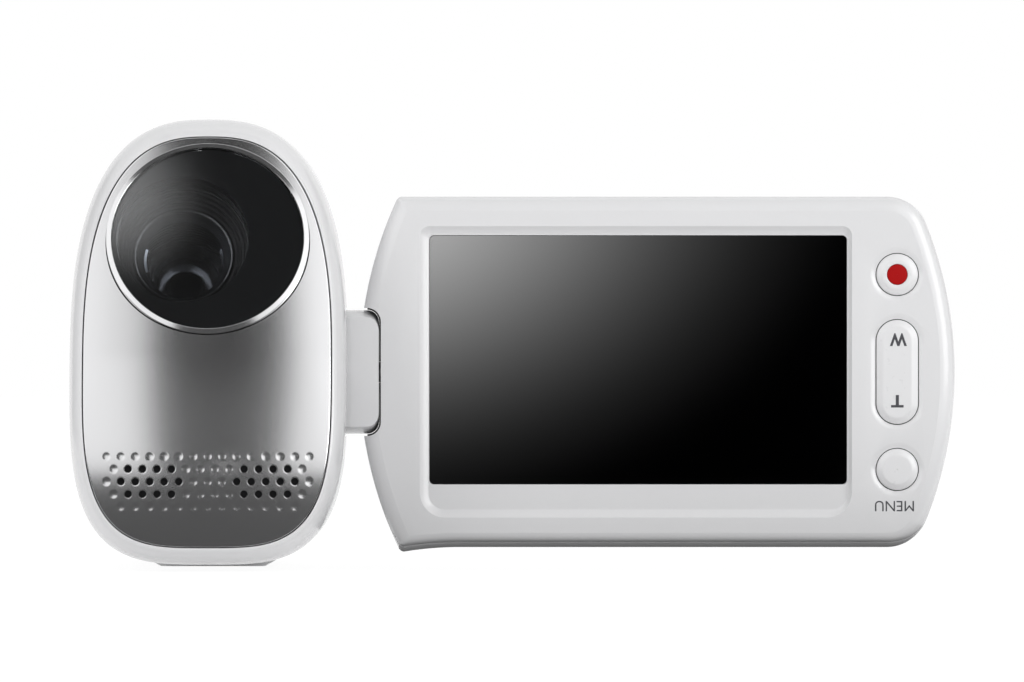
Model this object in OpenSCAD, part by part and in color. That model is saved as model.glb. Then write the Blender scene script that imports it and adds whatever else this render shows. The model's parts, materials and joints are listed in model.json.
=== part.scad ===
// Compact camcorder with an up-tilted lens and a side screen that swings out and twists.
// Millimetres. X points to the camera's own left, where the screen opens. Y points to the rear.
// Z points up. The origin is the mouth of the tripod socket. The lens looks along -Y.
// At rest the screen is swung out and turned over, so that it faces forward beside the lens.

/* [Body] */
// Width of the body across its widest section
body_w = 39.5; // [38:0.5:44]
// Length from the foremost point of the front plate to the rear end
body_l = 118; // [116:1:126]
// Height of the crown of the front shell above the base
crown_z = 64.5; // [63:0.5:68]
// Height of the crown at the rear of the body
rear_crown_z = 58.5; // [57.5:0.5:61]
// Height of the widest section
waist_z = 29.4; // [28:0.2:31]
// Height of the rounded belly above the surface the camera stands on
belly_z = 0.8; // [0.6:0.1:1.2]
// Wall of the moulded body shells
wall = 1.6; // [1.2:0.1:1.8]
// Distance of the foremost point in front of the tripod socket
front_reach = 52; // [50:0.5:54]

/* [Front plate and lens] */
// Upward tilt of the lens
lens_tilt = 20; // [15:1:22]
// Height of the centre of the lens window
window_z = 47.3; // [46:0.1:47.6]
// Radius of the lens window glass
window_r = 13.75; // [13:0.05:13.9]
// Width of the polished ring round the window
ring_band = 0.75; // [0.5:0.05:0.8]
// Sideways offset of the optical axis, away from the screen
optic_x = -3.6; // [-3.8:0.1:-3]
// Thickness of the metal front plate
plate_t = 0.7; // [0.5:0.05:0.9]
// Width of the white rim that shows round the plate
rim_w = 1.95; // [1.7:0.05:2.2]
// Radius of the chin curve below the lens
chin_r = 50; // [45:1:60]
// Radius of the front plate seen from above
plan_r = 90; // [80:5:120]
// Pitch of the microphone holes and dimples
mic_pitch = 2.06; // [2:0.02:2.12]
// Diameter of a microphone hole
mic_hole_d = 1.25; // [1:0.05:1.4]

/* [Screen] */
// Width of the display glass
screen_w = 59.9; // [58:0.1:60.5]
// Height of the display glass
screen_h = 35.7; // [34:0.1:36]
// Thickness of the screen housing
panel_t = 9; // [8.4:0.1:9.2]
// Height of the screen housing
panel_h = 50.4; // [50:0.1:51]
// Wall of the screen housing
panel_wall = 1.1; // [0.9:0.1:1.2]
// Diameter of a button cap beside the display
key_d = 6; // [5.6:0.1:6.2]
// Spacing of the buttons beside the display
key_pitch = 14; // [13.8:0.1:14.4]
// Gap round a button cap or other moving piece
gap = 0.25; // [0.2:0.01:0.3]

/* [Hinge] */
// Height of the hinge block
block_h = 17.8; // [17:0.1:18.4]
// Reach of the hinge block from the swing axis to its end
block_reach = 9.25; // [9:0.05:9.3]
// Radius of the swing pin
pin_r = 1.5; // [1.2:0.1:1.6]
// Radius of the twist shaft
shaft_r = 1.5; // [1.2:0.1:1.6]
// Radial running clearance of a pin in its bore
running = 0.05; // [0.03:0.01:0.08]

/* [Power] */
// Thickness of the battery pack
battery_x = 15; // [14:0.1:15]
// Length of the battery pack
battery_y = 31; // [30:0.5:31.5]
// Height of the battery pack
battery_z = 38; // [36:0.5:38.5]
// Minor radius of the tripod thread
tripod_r = 2.6; // [2.5:0.05:3]
// Depth of the tripod socket
tripod_depth = 5.5; // [5:0.1:6]

/* [Hidden] */
$fn = 48;

// Body outline: a superellipse, rounder above the waist than below it.
round_up = 2.65;
round_down = 3.5;
facet_a = 5;
outline_n = 360 / facet_a;
front_y = -front_reach;
rear_y = front_y + body_l;
half_w = body_w / 2;
crown_b = crown_z - waist_z;
belly_b = waist_z - belly_z;

// Swing axis of the screen, vertical, and twist axis, level across the body.
face_gap = 0.35;
swing_x = half_w - face_gap / 2 - panel_t / 2;
swing_y = front_y + 24.5;
twist_z = 28.25;
bay_x = swing_x - panel_t / 2 - face_gap;
bay_top_z = twist_z + panel_h / 2 + 1.15;

// Screen housing outline, measured from the swing axis along the housing.
screen_x0 = 16.55;
panel_near_x = 6.4;
panel_near_r = 59.4;
panel_near_c = panel_near_x + panel_near_r;
panel_far_x = screen_x0 + screen_w + 15.55;
panel_far_r = 57.5;
panel_far_c = panel_far_x - panel_far_r;
seam_r = panel_near_r - 13.7;
seam_c = panel_near_x - 2.45 + seam_r;
far_corner_r = 6;
near_corner_r = 0.9;
lip_drop = 0.65;
lip_run = 8;
key_x = screen_x0 + screen_w + 7.25;
screen_x = screen_x0 + screen_w / 2;
screen_dz = 1.75;

// Lens frame: origin at the window centre, +Z out along the optical axis.
chin_top_z = 31;
chin_z = chin_top_z - chin_r * sin(lens_tilt);
ring_r = window_r + ring_band;
ring_depth = 2.6;
window_t = 1.2;
window_proud = 0.35;
mask_t = 1.1;
frame_t = 1.5;
flange_r = ring_r + optic_x;
barrel_r = flange_r - 0.7;
barrel_end = -35;
front_glass_r = 7.2;
front_glass_z = -6.4;

// Microphone field.
mic_z = 12.7;
mic_row = mic_pitch * sin(60);

// Main shells.
taper_from_y = -9;
rear_dome_l = 22;
rear_cover_l = 16;
dome_y = rear_y - rear_dome_l;
rear_half_w = half_w - 0.5;
top_edge_t = 40;
top_seam_t = 120;
belly_edge_t = 290;
rear_seam_y = rear_y - rear_cover_l;

// Rear and top controls.
control_x = -2.5;
rear_control_x = -4.5;
lever_y = rear_y - 32;
photo_y = rear_y - 50;
record_z = 31;
mode_z = 46;
travel = 0.6;

// Battery bay.
bay_mid_x = -2.5;
battery_y0 = 13;
battery_z0 = 4.4;
case_wall = 0.8;
door_pin_r = 0.5;
door_pin_y = battery_y0 - 2;
door_pin_z = belly_z + 1.5;
door_hub_r = 1.25;
door_x0 = bay_mid_x - battery_x / 2 - 1;
door_x1 = bay_mid_x + battery_x / 2 + 0.6;
door_y1 = battery_y0 + battery_y + 1;

// Main board, upright between the battery and the screen bay.
board_x = 6.3;
board_t = 1;
board_gap = bay_x - wall - board_x - board_t;

// Jack cover, on the right side.
flap_pin_y = rear_y - 32;
flap_end_y = flap_pin_y + 14.5;
flap_z0 = 20;
flap_z1 = 36;
flap_hub_r = 0.8;

white = "white";
steel = "silver";
black = "#202022";

// ---------- shared shapes ----------

function spow(v, p) = sign(v) * pow(abs(v), p);

// Point of the body outline at angle t, for half width a and heights b_up and b_down about the waist.
function egg_point(t, a, b_up, b_down) =
  let (n = sin(t) >= 0 ? round_up : round_down, b = sin(t) >= 0 ? b_up : b_down)
  [a * spow(cos(t), 2 / n), b * spow(sin(t), 2 / n)];

function egg(a, b_up, b_down, n = outline_n) =
  [for (i = [0 : n - 1]) egg_point(360 * i / n, a, b_up, b_down)];

// Setback of the front face behind its foremost point, at height z on the centre line.
function setback(z) =
  z < chin_top_z
    ? chin_r - sqrt(chin_r * chin_r - (z - chin_z) * (z - chin_z))
    : chin_r * (1 - cos(lens_tilt)) + (z - chin_top_z) * tan(lens_tilt);

// Front face: the setback line turned about an upright axis plan_r behind the foremost point.
function face_y(x, z) = front_y + plan_r - sqrt(pow(plan_r - setback(z), 2) - x * x);

window_y = face_y(0, window_z);

// Half width, crown and belly of the main body at y, and the dome that closes its rear.
function dome(y) = y <= dome_y ? 1 : pow(max(0, 1 - pow((y - dome_y) / (rear_y - dome_y), 2)), 0.25);
function ease(y) = pow(min(1, max(0, (y - taper_from_y) / (dome_y - taper_from_y))), 1.3);
function section_w(y) = (half_w + (rear_half_w - half_w) * ease(y)) * dome(y);
function section_up(y) = (crown_b + (rear_crown_z - crown_z) * ease(y)) * dome(y);
function section_down(y) = belly_b * dome(y);
function crown_at(y) = waist_z + section_up(y);

// Skin over a list of rings of points, with flat ends.
module loft(rings) {
  n = len(rings[0]);
  last = (len(rings) - 1) * n;
  walls = [for (j = [0 : len(rings) - 2], i = [0 : n - 1])
    let (a = j * n + i, b = j * n + (i + 1) % n) each [[a, b, b + n], [a, b + n, a + n]]];
  near_end = [for (i = [n - 1 : -1 : 0]) i];
  far_end = [for (i = [0 : n - 1]) last + i];
  polyhedron([for (ring = rings) each ring], concat(walls, [near_end], [far_end]));
}

// Skin over a closed chain of rings, such as a hoop with a profile that runs back to its start.
module hoop(rings) {
  n = len(rings[0]);
  m = len(rings);
  walls = [for (j = [0 : m - 1], i = [0 : n - 1])
    let (a = j * n + i, b = j * n + (i + 1) % n, k = ((j + 1) % m - j) * n)
    each [[a, b, b + k], [a, b + k, a + k]]];
  polyhedron([for (ring = rings) each ring], walls);
}

// Wall of the main body between outline angles t0 and t1, at stations ys.
module body_wall(ys, t0, t1) {
  n = (t1 - t0) / facet_a;
  loft([for (y = ys)
    let (
      w = section_w(y), u = section_up(y), d = section_down(y),
      outer = [for (i = [0 : n]) egg_point(t0 + (t1 - t0) * i / n, w, u, d)],
      inner = [for (i = [n : -1 : 0]) egg_point(t0 + (t1 - t0) * i / n, w - wall, u - wall, d - wall)]
    )
    [for (p = concat(outer, inner)) [p[0], y, waist_z + p[1]]]]);
}

// Solid of the main body, shrunk by inset, at stations ys.
module body_core(ys, inset, n = outline_n) {
  loft([for (y = ys) [for (p = egg(section_w(y) - inset, section_up(y) - inset, section_down(y) - inset, n))
    [p[0], y, waist_z + p[1]]]]);
}

// Everything behind the curved seam, which bows round the near edge of the closed screen.
module behind_seam(ahead = 0) {
  translate([0, swing_y + seam_c, twist_z]) rotate([0, 90, 0])
    cylinder(r = seam_r + ahead, h = 3 * body_w, center = true, $fn = 96);
}

// Local frame of the lens, moved sideways by x.
module at_lens(x = 0) {
  translate([x, window_y, window_z]) rotate([90 - lens_tilt, 0, 0]) children();
}

// A profile of radius and height turned about Z.
module turned(profile) {
  rotate_extrude($fn = 72) polygon(profile);
}

// Rounded bar between two upright ends, along Z.
module slab(size, r) {
  linear_extrude(size[2]) rounded(size[0], size[1], r);
}

module rounded(w, h, r) {
  square([w - 2 * r, h], center = true);
  square([w, h - 2 * r], center = true);
  for (sx = [-1, 1], sy = [-1, 1]) translate([sx * (w / 2 - r), sy * (h / 2 - r)]) circle(r, $fn = 32);
}

// Lays a shape drawn in X and height onto a plane that faces the front, thickness towards the rear.
module upright(y = 0) {
  translate([0, y, 0]) rotate([90, 0, 0]) mirror([0, 0, 1]) children();
}

// ---------- front ----------

rim_steps = 5;
rim_depth = 5;
plate_half_w = half_w - rim_w;
plate_up = crown_b - rim_w * 1.3;
plate_down = belly_b - rim_w * 1.25;
shell_back_y = -4;

// One ring of the front shell: share s from the plate edge to the outline, at a depth behind the face.
function rim_ring(s, depth, inset = 0) =
  [for (i = [0 : outline_n - 1])
    let (
      t = 360 * i / outline_n,
      p = egg_point(t, plate_half_w, plate_up, plate_down),
      o = egg_point(t, half_w - inset, crown_b - inset, belly_b - inset),
      x = p[0] + (o[0] - p[0]) * s, z = waist_z + p[1] + (o[1] - p[1]) * s
    )
    [x, face_y(x, z) + depth, z]];

function back_ring(inset) =
  [for (p = egg(half_w - inset, crown_b - inset, belly_b - inset)) [p[0], shell_back_y, waist_z + p[1]]];

module hinge_notch(clear) {
  translate([bay_x, swing_y - panel_t / 2 - face_gap, twist_z - block_h / 2 - clear])
    cube([body_w, 3 * panel_t, block_h + 2 * clear]);
}

module front_shell() {
  color(white) difference() {
    hoop(concat(
      [for (k = [0 : rim_steps]) let (a = 90 * k / rim_steps) rim_ring(sin(a), 0.1 + rim_depth * (1 - cos(a)))],
      [back_ring(0), back_ring(wall), rim_ring(1, rim_depth + wall, wall), rim_ring(0, 3)]
    ));
    behind_seam();
    hinge_notch(face_gap);
  }
}

// Band of the front face between two depths below it, turned about the upright axis.
face_zs = [for (z = [-2 : 3.5 : 68]) z];
module face_band(shallow, deep) {
  translate([0, front_y + plan_r, 0]) rotate([0, 0, -90 - 20]) rotate_extrude(angle = 40, $fn = 96)
    polygon(concat(
      [for (z = face_zs) [plan_r - setback(z) - shallow, z]],
      [for (i = [len(face_zs) - 1 : -1 : 0]) [plan_r - setback(face_zs[i]) - deep, face_zs[i]]]
    ));
}

// Prism of the plate's outline, shrunk by inset.
module plate_prism(inset) {
  translate([0, front_y - 5, waist_z]) rotate([90, 0, 0]) mirror([0, 0, 1])
    linear_extrude(40) polygon(egg(plate_half_w - inset, plate_up - inset, plate_down - inset, 72));
}

// Staggered field: rows from the bottom up, each with its number of cells, and which cells are holes.
mic_rows = [
  [13, []],
  [14, [1, 2, 3, 4, 9, 10, 11, 12]],
  [15, [1, 2, 3, 4, 5, 9, 10, 11, 12, 13]],
  [14, [1, 2, 3, 4, 9, 10, 11, 12]],
  [15, []]
];

module mic_field(holes) {
  for (r = [0 : len(mic_rows) - 1], c = [0 : mic_rows[r][0] - 1])
    if ((len(search(c, mic_rows[r][1])) > 0) == holes)
      let (x = (c - (mic_rows[r][0] - 1) / 2) * mic_pitch, z = mic_z + (r - 2) * mic_row)
        translate([x, face_y(x, z), z]) children();
}

dimple_r = 0.8;
dimple_depth = 0.22;
edge_gap = 0.12;

module front_plate() {
  color(steel) difference() {
    intersection() {
      face_band(0, plate_t);
      plate_prism(edge_gap);
    }
    at_lens() cylinder(r = ring_r + 0.08, h = 20, center = true);
    mic_field(true) rotate([90, 0, 0]) cylinder(d = mic_hole_d, h = 4, center = true, $fn = 16);
    mic_field(false) translate([0, dimple_depth - dimple_r, 0]) sphere(dimple_r, $fn = 16);
  }
}

mic_window_w = 5.4 * mic_pitch;
mic_window_h = 3.4 * mic_row;
mic_group_x = 4 * mic_pitch;

module front_frame() {
  color(black) difference() {
    union() {
      intersection() {
        face_band(plate_t + 0.02, plate_t + frame_t);
        plate_prism(edge_gap);
      }
      intersection() {
        at_lens() translate([0, 0, -ring_depth - 2.3]) cylinder(r = ring_r + 1.3, h = 12);
        face_band(plate_t + 0.02, plate_t + 12);
        plate_prism(edge_gap);
      }
    }
    at_lens() translate([0, 0, -ring_depth - 0.85]) cylinder(r = ring_r + 0.05, h = 20);
    at_lens(optic_x) cylinder(r = barrel_r + 0.1, h = 30, center = true);
    for (s = [-1, 1]) translate([s * mic_group_x, front_y, mic_z]) upright(-10)
      slab([mic_window_w, mic_window_h, 30], 1);
  }
}

module microphone_cloth() {
  color(black) for (s = [-1, 1]) intersection() {
    face_band(plate_t + 0.02, plate_t + 0.4);
    translate([s * mic_group_x, front_y, mic_z]) upright(-10) slab([mic_window_w - 0.1, mic_window_h - 0.1, 30], 0.95);
  }
}

mic_capsule_r = 2.4;
mic_capsule_l = 2.6;

module microphone_capsules() {
  color("gray") for (s = [-1, 1])
    translate([s * mic_group_x, face_y(mic_group_x, mic_z) + plate_t + 0.7, mic_z]) upright()
      cylinder(r = mic_capsule_r, h = mic_capsule_l);
}

// ---------- lens ----------

module lens_ring() {
  color("lightgray") at_lens() turned([
    [window_r + 0.05, -ring_depth + 0.6], [window_r + 0.05, 0.45], [window_r + 0.25, 0.75],
    [ring_r - 0.15, 0.75], [ring_r, 0.6], [ring_r, -ring_depth], [window_r - 0.9, -ring_depth],
    [window_r - 0.9, -ring_depth + 0.6]
  ]);
}

module lens_window() {
  color([0.1, 0.1, 0.12, 0.35]) at_lens() translate([0, 0, window_proud - window_t])
    cylinder(r = window_r, h = window_t, $fn = 72);
}

module lens_mask() {
  color(black) difference() {
    at_lens() turned([
      [0, -ring_depth - 0.05], [window_r - 0.95, -ring_depth - 0.05], [window_r - 0.95, -ring_depth + 0.6],
      [window_r, -ring_depth + 0.6], [window_r, window_proud - window_t], [0, window_proud - window_t]
    ]);
    at_lens(optic_x) cylinder(r = 9.5, h = 12, center = true);
  }
}

baffles = 4;
module lens_barrel() {
  mouth = -ring_depth - 0.05;
  drop = (mouth - front_glass_z) / baffles;
  narrow = (9.5 - front_glass_r) / baffles;
  color(black) at_lens(optic_x) turned(concat(
    [for (k = [0 : baffles - 1]) each [
      [9.5 - k * narrow, mouth - k * drop], [9.5 - k * narrow, mouth - (k + 0.55) * drop]
    ]],
    [[front_glass_r - 0.4, front_glass_z], [front_glass_r - 0.4, front_glass_z - 0.3]],
    [[front_glass_r + 0.02, front_glass_z - 0.3], [front_glass_r + 0.02, front_glass_z - 3.4], [6.3, front_glass_z - 3.4],
     [6.3, barrel_end], [barrel_r - 0.9, barrel_end], [barrel_r - 0.9, -14],
     [barrel_r, -13], [barrel_r, mouth - 0.8], [flange_r - 0.05, mouth - 0.8], [flange_r - 0.05, mouth]]
  ));
}

// Lens element of radius r with crowned faces, its middle plane at height z.
module element(r, t, crown, z) {
  n = 6;
  turned(concat(
    [for (k = [0 : n]) let (x = r * k / n) [x, z + t / 2 + crown * (1 - pow(k / n, 2))]],
    [for (k = [n : -1 : 0]) let (x = r * k / n) [x, z - t / 2 - crown * 0.6 * (1 - pow(k / n, 2))]]
  ));
}

module front_element() {
  color([0.4, 0.45, 0.6, 0.5]) at_lens(optic_x) element(front_glass_r, 1.6, 0.9, front_glass_z - 2.3);
}

rod_r = 0.5;
zoom_z = -24;
focus_z = -33;

// Two guide rods, one on each side of the axis, grown by clear where a sliding part runs on them.
module rods(clear = 0) {
  for (s = [-1, 1]) translate([s * 5, 0, barrel_end]) cylinder(r = rod_r + clear, h = -barrel_end - 11, $fn = 24);
}

module guide_rods() {
  color(steel) at_lens(optic_x) rods();
}

module zoom_group() {
  color("dimgray") at_lens(optic_x) difference() {
    translate([0, 0, zoom_z]) turned([[3.2, 0], [6, 0], [6, 3.8], [4, 3.8], [4, 3.2], [3.2, 2.4]]);
    rods(running);
  }
  color([0.4, 0.45, 0.6, 0.5]) at_lens(optic_x) element(3.2, 1.6, 0.3, zoom_z + 1.2);
}

motor_r = 3.1;
motor_y = barrel_r - 0.9 + motor_r + 0.1;
module zoom_motor() {
  color("gray") at_lens(optic_x) {
    translate([0, motor_y, -31]) cylinder(r = motor_r, h = 9);
    translate([0, motor_y, -22]) cylinder(r = 0.7, h = 6);
  }
}

module iris_plate() {
  color(black) at_lens(optic_x) difference() {
    translate([0, 0, -27.5]) cylinder(r = 6.25, h = 0.8);
    translate([0, 0, -30]) cylinder(r = 2.4, h = 6);
    rods(0.01);
  }
}

module focus_group() {
  color([0.4, 0.45, 0.6, 0.5]) at_lens(optic_x) element(4, 1.8, 0.4, focus_z + 1.5);
  color(black) at_lens(optic_x) difference() {
    translate([0, 0, focus_z]) cylinder(r = 6, h = 3);
    translate([0, 0, focus_z - 1]) cylinder(r = 4.02, h = 6);
    rods(running);
  }
}

module image_sensor() {
  color("darkgreen") at_lens(optic_x) translate([0, 0, barrel_end - 1.1]) slab([16, 14, 1], 1);
  color("dimgray") at_lens(optic_x) translate([0, 0, barrel_end - 0.1]) slab([7, 5.5, 1.2], 0.3);
}

// ---------- main body ----------

main_ys = [-24, taper_from_y, 4, 18, 32, dome_y, rear_seam_y + 0.5];

module top_shell() {
  color(white) difference() {
    intersection() {
      union() {
        body_wall(main_ys, top_edge_t, top_seam_t);
        translate([control_x, lever_y, lever_z - 1.4]) cylinder(r = lever_seat_r + gap + 0.9, h = 1.6);
      }
      behind_seam();
      translate([-body_w, -body_l, bay_top_z]) cube([2 * body_w, body_l + rear_seam_y, crown_z]);
    }
    translate([control_x, lever_y, lever_z]) cylinder(r = lever_seat_r + gap, h = 9);
    translate([control_x, lever_y, lever_z - 6]) cylinder(r = stem_r + running, h = 9);
    translate([control_x, photo_y, crown_at(photo_y) - 8]) cylinder(r = photo_r + gap, h = 20);
  }
}

module right_shell() {
  color(white) difference() {
    intersection() {
      body_wall(main_ys, top_seam_t, belly_edge_t);
      behind_seam();
      translate([-body_w, -body_l, -1]) cube([body_w + bay_x, body_l + rear_seam_y, crown_z]);
    }
    door_prism(gap);
    base_prism(0.05);
    flap_prism(gap);
    flap_pins(0.01);
  }
}

inner_rear_ys = concat([rear_seam_y], [for (d = [12, 8.5, 5.8, 3.7, 2.6]) rear_y - d]);
rear_ys = concat([rear_seam_y], [for (d = [12, 8.5, 5.8, 3.7, 2.1, 1, 0.3]) rear_y - d]);

module rear_cover() {
  color(white) difference() {
    intersection() {
      difference() {
        body_core(rear_ys, 0);
        body_core(concat([dome_y], inner_rear_ys), wall);
      }
      union() {
        translate([-body_w, 0, -1]) cube([body_w + bay_x, 2 * body_l, bay_top_z + 1]);
        translate([-body_w, 0, bay_top_z]) cube([2 * body_w, 2 * body_l, crown_z]);
      }
    }
    translate([rear_control_x, rear_y - 12, record_z]) upright() cylinder(r = record_r + gap, h = 20);
    translate([rear_control_x, rear_y - 14, mode_z]) upright() cylinder(r = mode_r + gap, h = 20);
    for (k = [0, 1]) translate([light_x(k), rear_y - 12, light_z]) upright() cylinder(r = light_r, h = 20);
  }
}

// Flat wall of the screen bay, with its buttons and loudspeaker.
bay_key_y = [-2, 10, 22];
bay_key_z = 14;
bay_key_w = 7;
bay_key_h = 3.6;
speaker_y = 38;
speaker_z = 38;
speaker_r = 6;

module on_bay(y, z) {
  translate([bay_x, y, z]) rotate([90, 0, 90]) children();
}

// Wall of the bay, with a ceiling over the closed screen and a curved return behind the front shell.
lip_t = 1.4;
module left_panel() {
  color("whitesmoke") difference() {
    intersection() {
      difference() {
        translate([bay_x - wall, -body_l, -1]) cube([body_w, 2 * body_l, bay_top_z + 1 + lip_t]);
        intersection() {
          translate([bay_x, -body_l, -2]) cube([body_w, 2 * body_l, bay_top_z + 2]);
          behind_seam();
        }
      }
      behind_seam(lip_t);
      body_core(concat([for (y = main_ys) if (y < rear_seam_y) y], inner_rear_ys), wall + 0.03);
    }
    for (y = bay_key_y) on_bay(y, bay_key_z) translate([0, 0, -2 * wall]) slab([bay_key_w + 2 * gap, bay_key_h + 2 * gap, 9], 1.5);
    for (i = [-2 : 2], j = [-2 : 2]) if (abs(i) + abs(j) < 4)
      on_bay(speaker_y + 2 * i, speaker_z + 2 * j) cylinder(d = 1.1, h = 9, center = true, $fn = 16);
    hinge_notch(face_gap);
    hinge_bracket_space();
    base_prism(0.05);
  }
}

// The raised foot that carries the tripod socket, with a bevelled lower edge.
foot_w = 18;
foot_y0 = -10;
foot_y1 = 7.4;
foot_bevel = 1.4;
foot_bevel_h = 0.8;
screw_y = -6.4;
module base_prism(clear, z0 = 0, z1 = 4) {
  translate([0, (foot_y0 + foot_y1) / 2, z0])
    slab([foot_w + 2 * clear, foot_y1 - foot_y0 + 2 * clear, z1 - z0], 2);
}

module base_plate() {
  color(white) difference() {
    union() {
      base_prism(0, foot_bevel_h);
      hull() {
        base_prism(-foot_bevel, 0, 0.01);
        base_prism(0, foot_bevel_h - 0.01, foot_bevel_h);
      }
      cylinder(r = 5.2, h = tripod_depth + 1.5);
    }
    translate([0, 0, -1]) cylinder(r = 4.2, h = tripod_depth + 1);
    for (s = [-1, 1]) translate([s * 5.5, screw_y, 0]) {
      translate([0, 0, -1]) cylinder(r = 1.9, h = 2.2);
      cylinder(r = 0.86, h = 9);
    }
  }
}

module tripod_socket() {
  color(steel) difference() {
    cylinder(r = 4.2, h = tripod_depth);
    translate([0, 0, -1]) cylinder(r = tripod_r, h = tripod_depth + 2);
  }
}

// Sheet metal frame on the tripod boss: a floor, side walls, a saddle for the lens and a rear wall.
chassis_t = 1.2;
chassis_x0 = optic_x - barrel_r - 0.5;
chassis_x1 = board_x - 0.3;
chassis_y0 = -30;
chassis_y1 = battery_y0 - gap - case_wall - 0.5;
chassis_z = tripod_depth + 1.5;
saddle_y = -22;

module chassis() {
  color("silver") difference() {
    translate([chassis_x0, chassis_y0, chassis_z]) union() {
      cube([chassis_x1 - chassis_x0, chassis_y1 - chassis_y0, chassis_t]);
      cube([chassis_t, chassis_y1 - chassis_y0, 27]);
      translate([chassis_x1 - chassis_x0 - chassis_t, 0, 0]) cube([chassis_t, 17, 19]);
      translate([0, saddle_y - chassis_y0, 0]) cube([chassis_x1 - chassis_x0, chassis_t, 30]);
      translate([0, chassis_y1 - chassis_y0 - chassis_t, 0]) cube([chassis_x1 - chassis_x0, chassis_t, 33]);
    }
    at_lens(optic_x) translate([0, 0, barrel_end - 1]) cylinder(r = barrel_r - 0.9 + 0.05, h = 30);
    for (y = [-24.5, 3]) translate([optic_x, y, chassis_z - 1]) cylinder(r = 3, h = 4);
    for (y = [-26, 2]) translate([chassis_x0 - 1, y, chassis_z + 14]) rotate([0, 90, 0]) cylinder(r = 4.5, h = 4);
  }
}

// ---------- battery bay ----------

door_front_y = door_pin_y - 1.8;
knuckle_x = 6.1;

module door_prism(clear) {
  translate([door_x0 - clear, door_front_y - clear, -1])
    cube([door_x1 - door_x0 + 2 * clear, door_y1 - door_front_y + 2 * clear, battery_z0]);
}

module battery_door() {
  hub_x0 = bay_mid_x - 5;
  hub_x1 = bay_mid_x + 5;
  color(white) difference() {
    union() {
      intersection() {
        body_wall([taper_from_y, 4, 18, 32, dome_y, rear_seam_y], 225, belly_edge_t);
        translate([door_x0, door_pin_y + 0.4, -1]) cube([door_x1 - door_x0, door_y1 - door_pin_y - 0.4, battery_z0]);
      }
      translate([hub_x0, door_pin_y, door_pin_z]) rotate([0, 90, 0]) cylinder(r = door_hub_r, h = hub_x1 - hub_x0);
    }
    translate([hub_x0 - 1, door_pin_y, door_pin_z]) rotate([0, 90, 0]) cylinder(r = door_pin_r + running, h = hub_x1 - hub_x0 + 2);
    for (s = [-1, 1]) translate([bay_mid_x + s * knuckle_x - 0.8, door_pin_y - 3, -1]) cube([1.6, 5.6, 9]);
  }
}

module battery_door_pin() {
  color(steel) translate([bay_mid_x - 6.5, door_pin_y, door_pin_z]) rotate([0, 90, 0]) cylinder(r = door_pin_r, h = 13);
}

module battery_case() {
  x0 = bay_mid_x - battery_x / 2 - gap - case_wall;
  y0 = battery_y0 - gap - case_wall;
  color("dimgray") difference() {
    union() {
      translate([x0, y0, battery_z0]) cube([battery_x + 2 * gap + 2 * case_wall, battery_y + 2 * gap + 2 * case_wall, battery_z + gap + case_wall]);
      for (s = [-1, 1]) translate([bay_mid_x + s * knuckle_x - 0.45, door_pin_y - 1, door_pin_z - 1]) cube([0.9, 2.3, 5]);
    }
    translate([x0 + case_wall, y0 + case_wall, battery_z0 - 1]) cube([battery_x + 2 * gap, battery_y + 2 * gap, battery_z + gap + 1]);
    translate([bay_mid_x - 8, door_pin_y, door_pin_z]) rotate([0, 90, 0]) cylinder(r = door_pin_r + 0.01, h = 16);
  }
}

module battery_pack() {
  color("darkslategray") translate([bay_mid_x, battery_y0 + battery_y / 2, battery_z0]) slab([battery_x, battery_y, battery_z], 1.5);
}

// The card stands behind the battery, under the same door.
card_w = 11;
card_h = 15;
card_t = 1;
card_y = battery_y0 + battery_y + gap + case_wall + 1.5;
card_z0 = battery_z0 + 0.6;
module card_slot() {
  color(steel) translate([bay_mid_x, card_y, card_z0 + 2.5]) difference() {
    translate([-card_w / 2 - 1, -1.4, 0]) cube([card_w + 2, 2.8, card_h + 2]);
    translate([-card_w / 2 - 0.1, -card_t / 2 - 0.1, -1]) cube([card_w + 0.2, card_t + 0.2, card_h + 1]);
  }
}

module memory_card() {
  color(black) translate([bay_mid_x - card_w / 2, card_y - card_t / 2, card_z0]) cube([card_w, card_t, card_h]);
}

board_y0 = -12;
board_z0 = 8;
board_h = 40;
module main_board() {
  color("darkgreen") translate([board_x, board_y0, board_z0]) cube([board_t, rear_y - 14 - board_y0, board_h]);
  color(black) for (p = [[-4, 30], [8, 36], [20, 24]]) translate([board_x + board_t, p[0], p[1]]) cube([0.9, 8, 8]);
}

module speaker() {
  color("gray") on_bay(speaker_y, speaker_z) translate([0, 0, -wall - 1.1]) cylinder(r = speaker_r, h = 1.05);
}

// ---------- controls ----------

lever_seat_r = 5.6;
lever_t = 2.5;
lever_z = crown_at(lever_y) - 2;
stem_r = 1.5;
photo_r = 3.8;
record_r = 6;
mode_r = 3;
light_r = 0.7;
light_z = 52;
function light_x(k) = rear_control_x - 2 + 4 * k;

// Turning zoom lever with a grip bar across it.
module zoom_lever() {
  color("lightgray") translate([control_x, lever_y, lever_z + running]) {
    cylinder(r = lever_seat_r, h = lever_t);
    translate([0, 0, -4]) cylinder(r = stem_r, h = 5);
    translate([0, 0, lever_t - 0.2]) slab([2.2, 2 * lever_seat_r - 2.4, 1.6], 1);
  }
}

module photo_button() {
  color("lightgray") translate([control_x, photo_y, crown_at(photo_y)]) {
    translate([0, 0, -3]) cylinder(r = photo_r, h = 3.2);
    translate([0, 0, 0.2]) cylinder(r1 = photo_r, r2 = photo_r - 0.6, h = 0.5);
    translate([0, 0, -3.6]) cylinder(r = photo_r - 2, h = 0.7);
  }
}

function rear_face_y(z) = dome_y + (rear_y - dome_y) * sqrt(1 - pow(abs(z - waist_z) / (z > waist_z ? section_up(dome_y) : section_down(dome_y)), 4));

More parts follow.
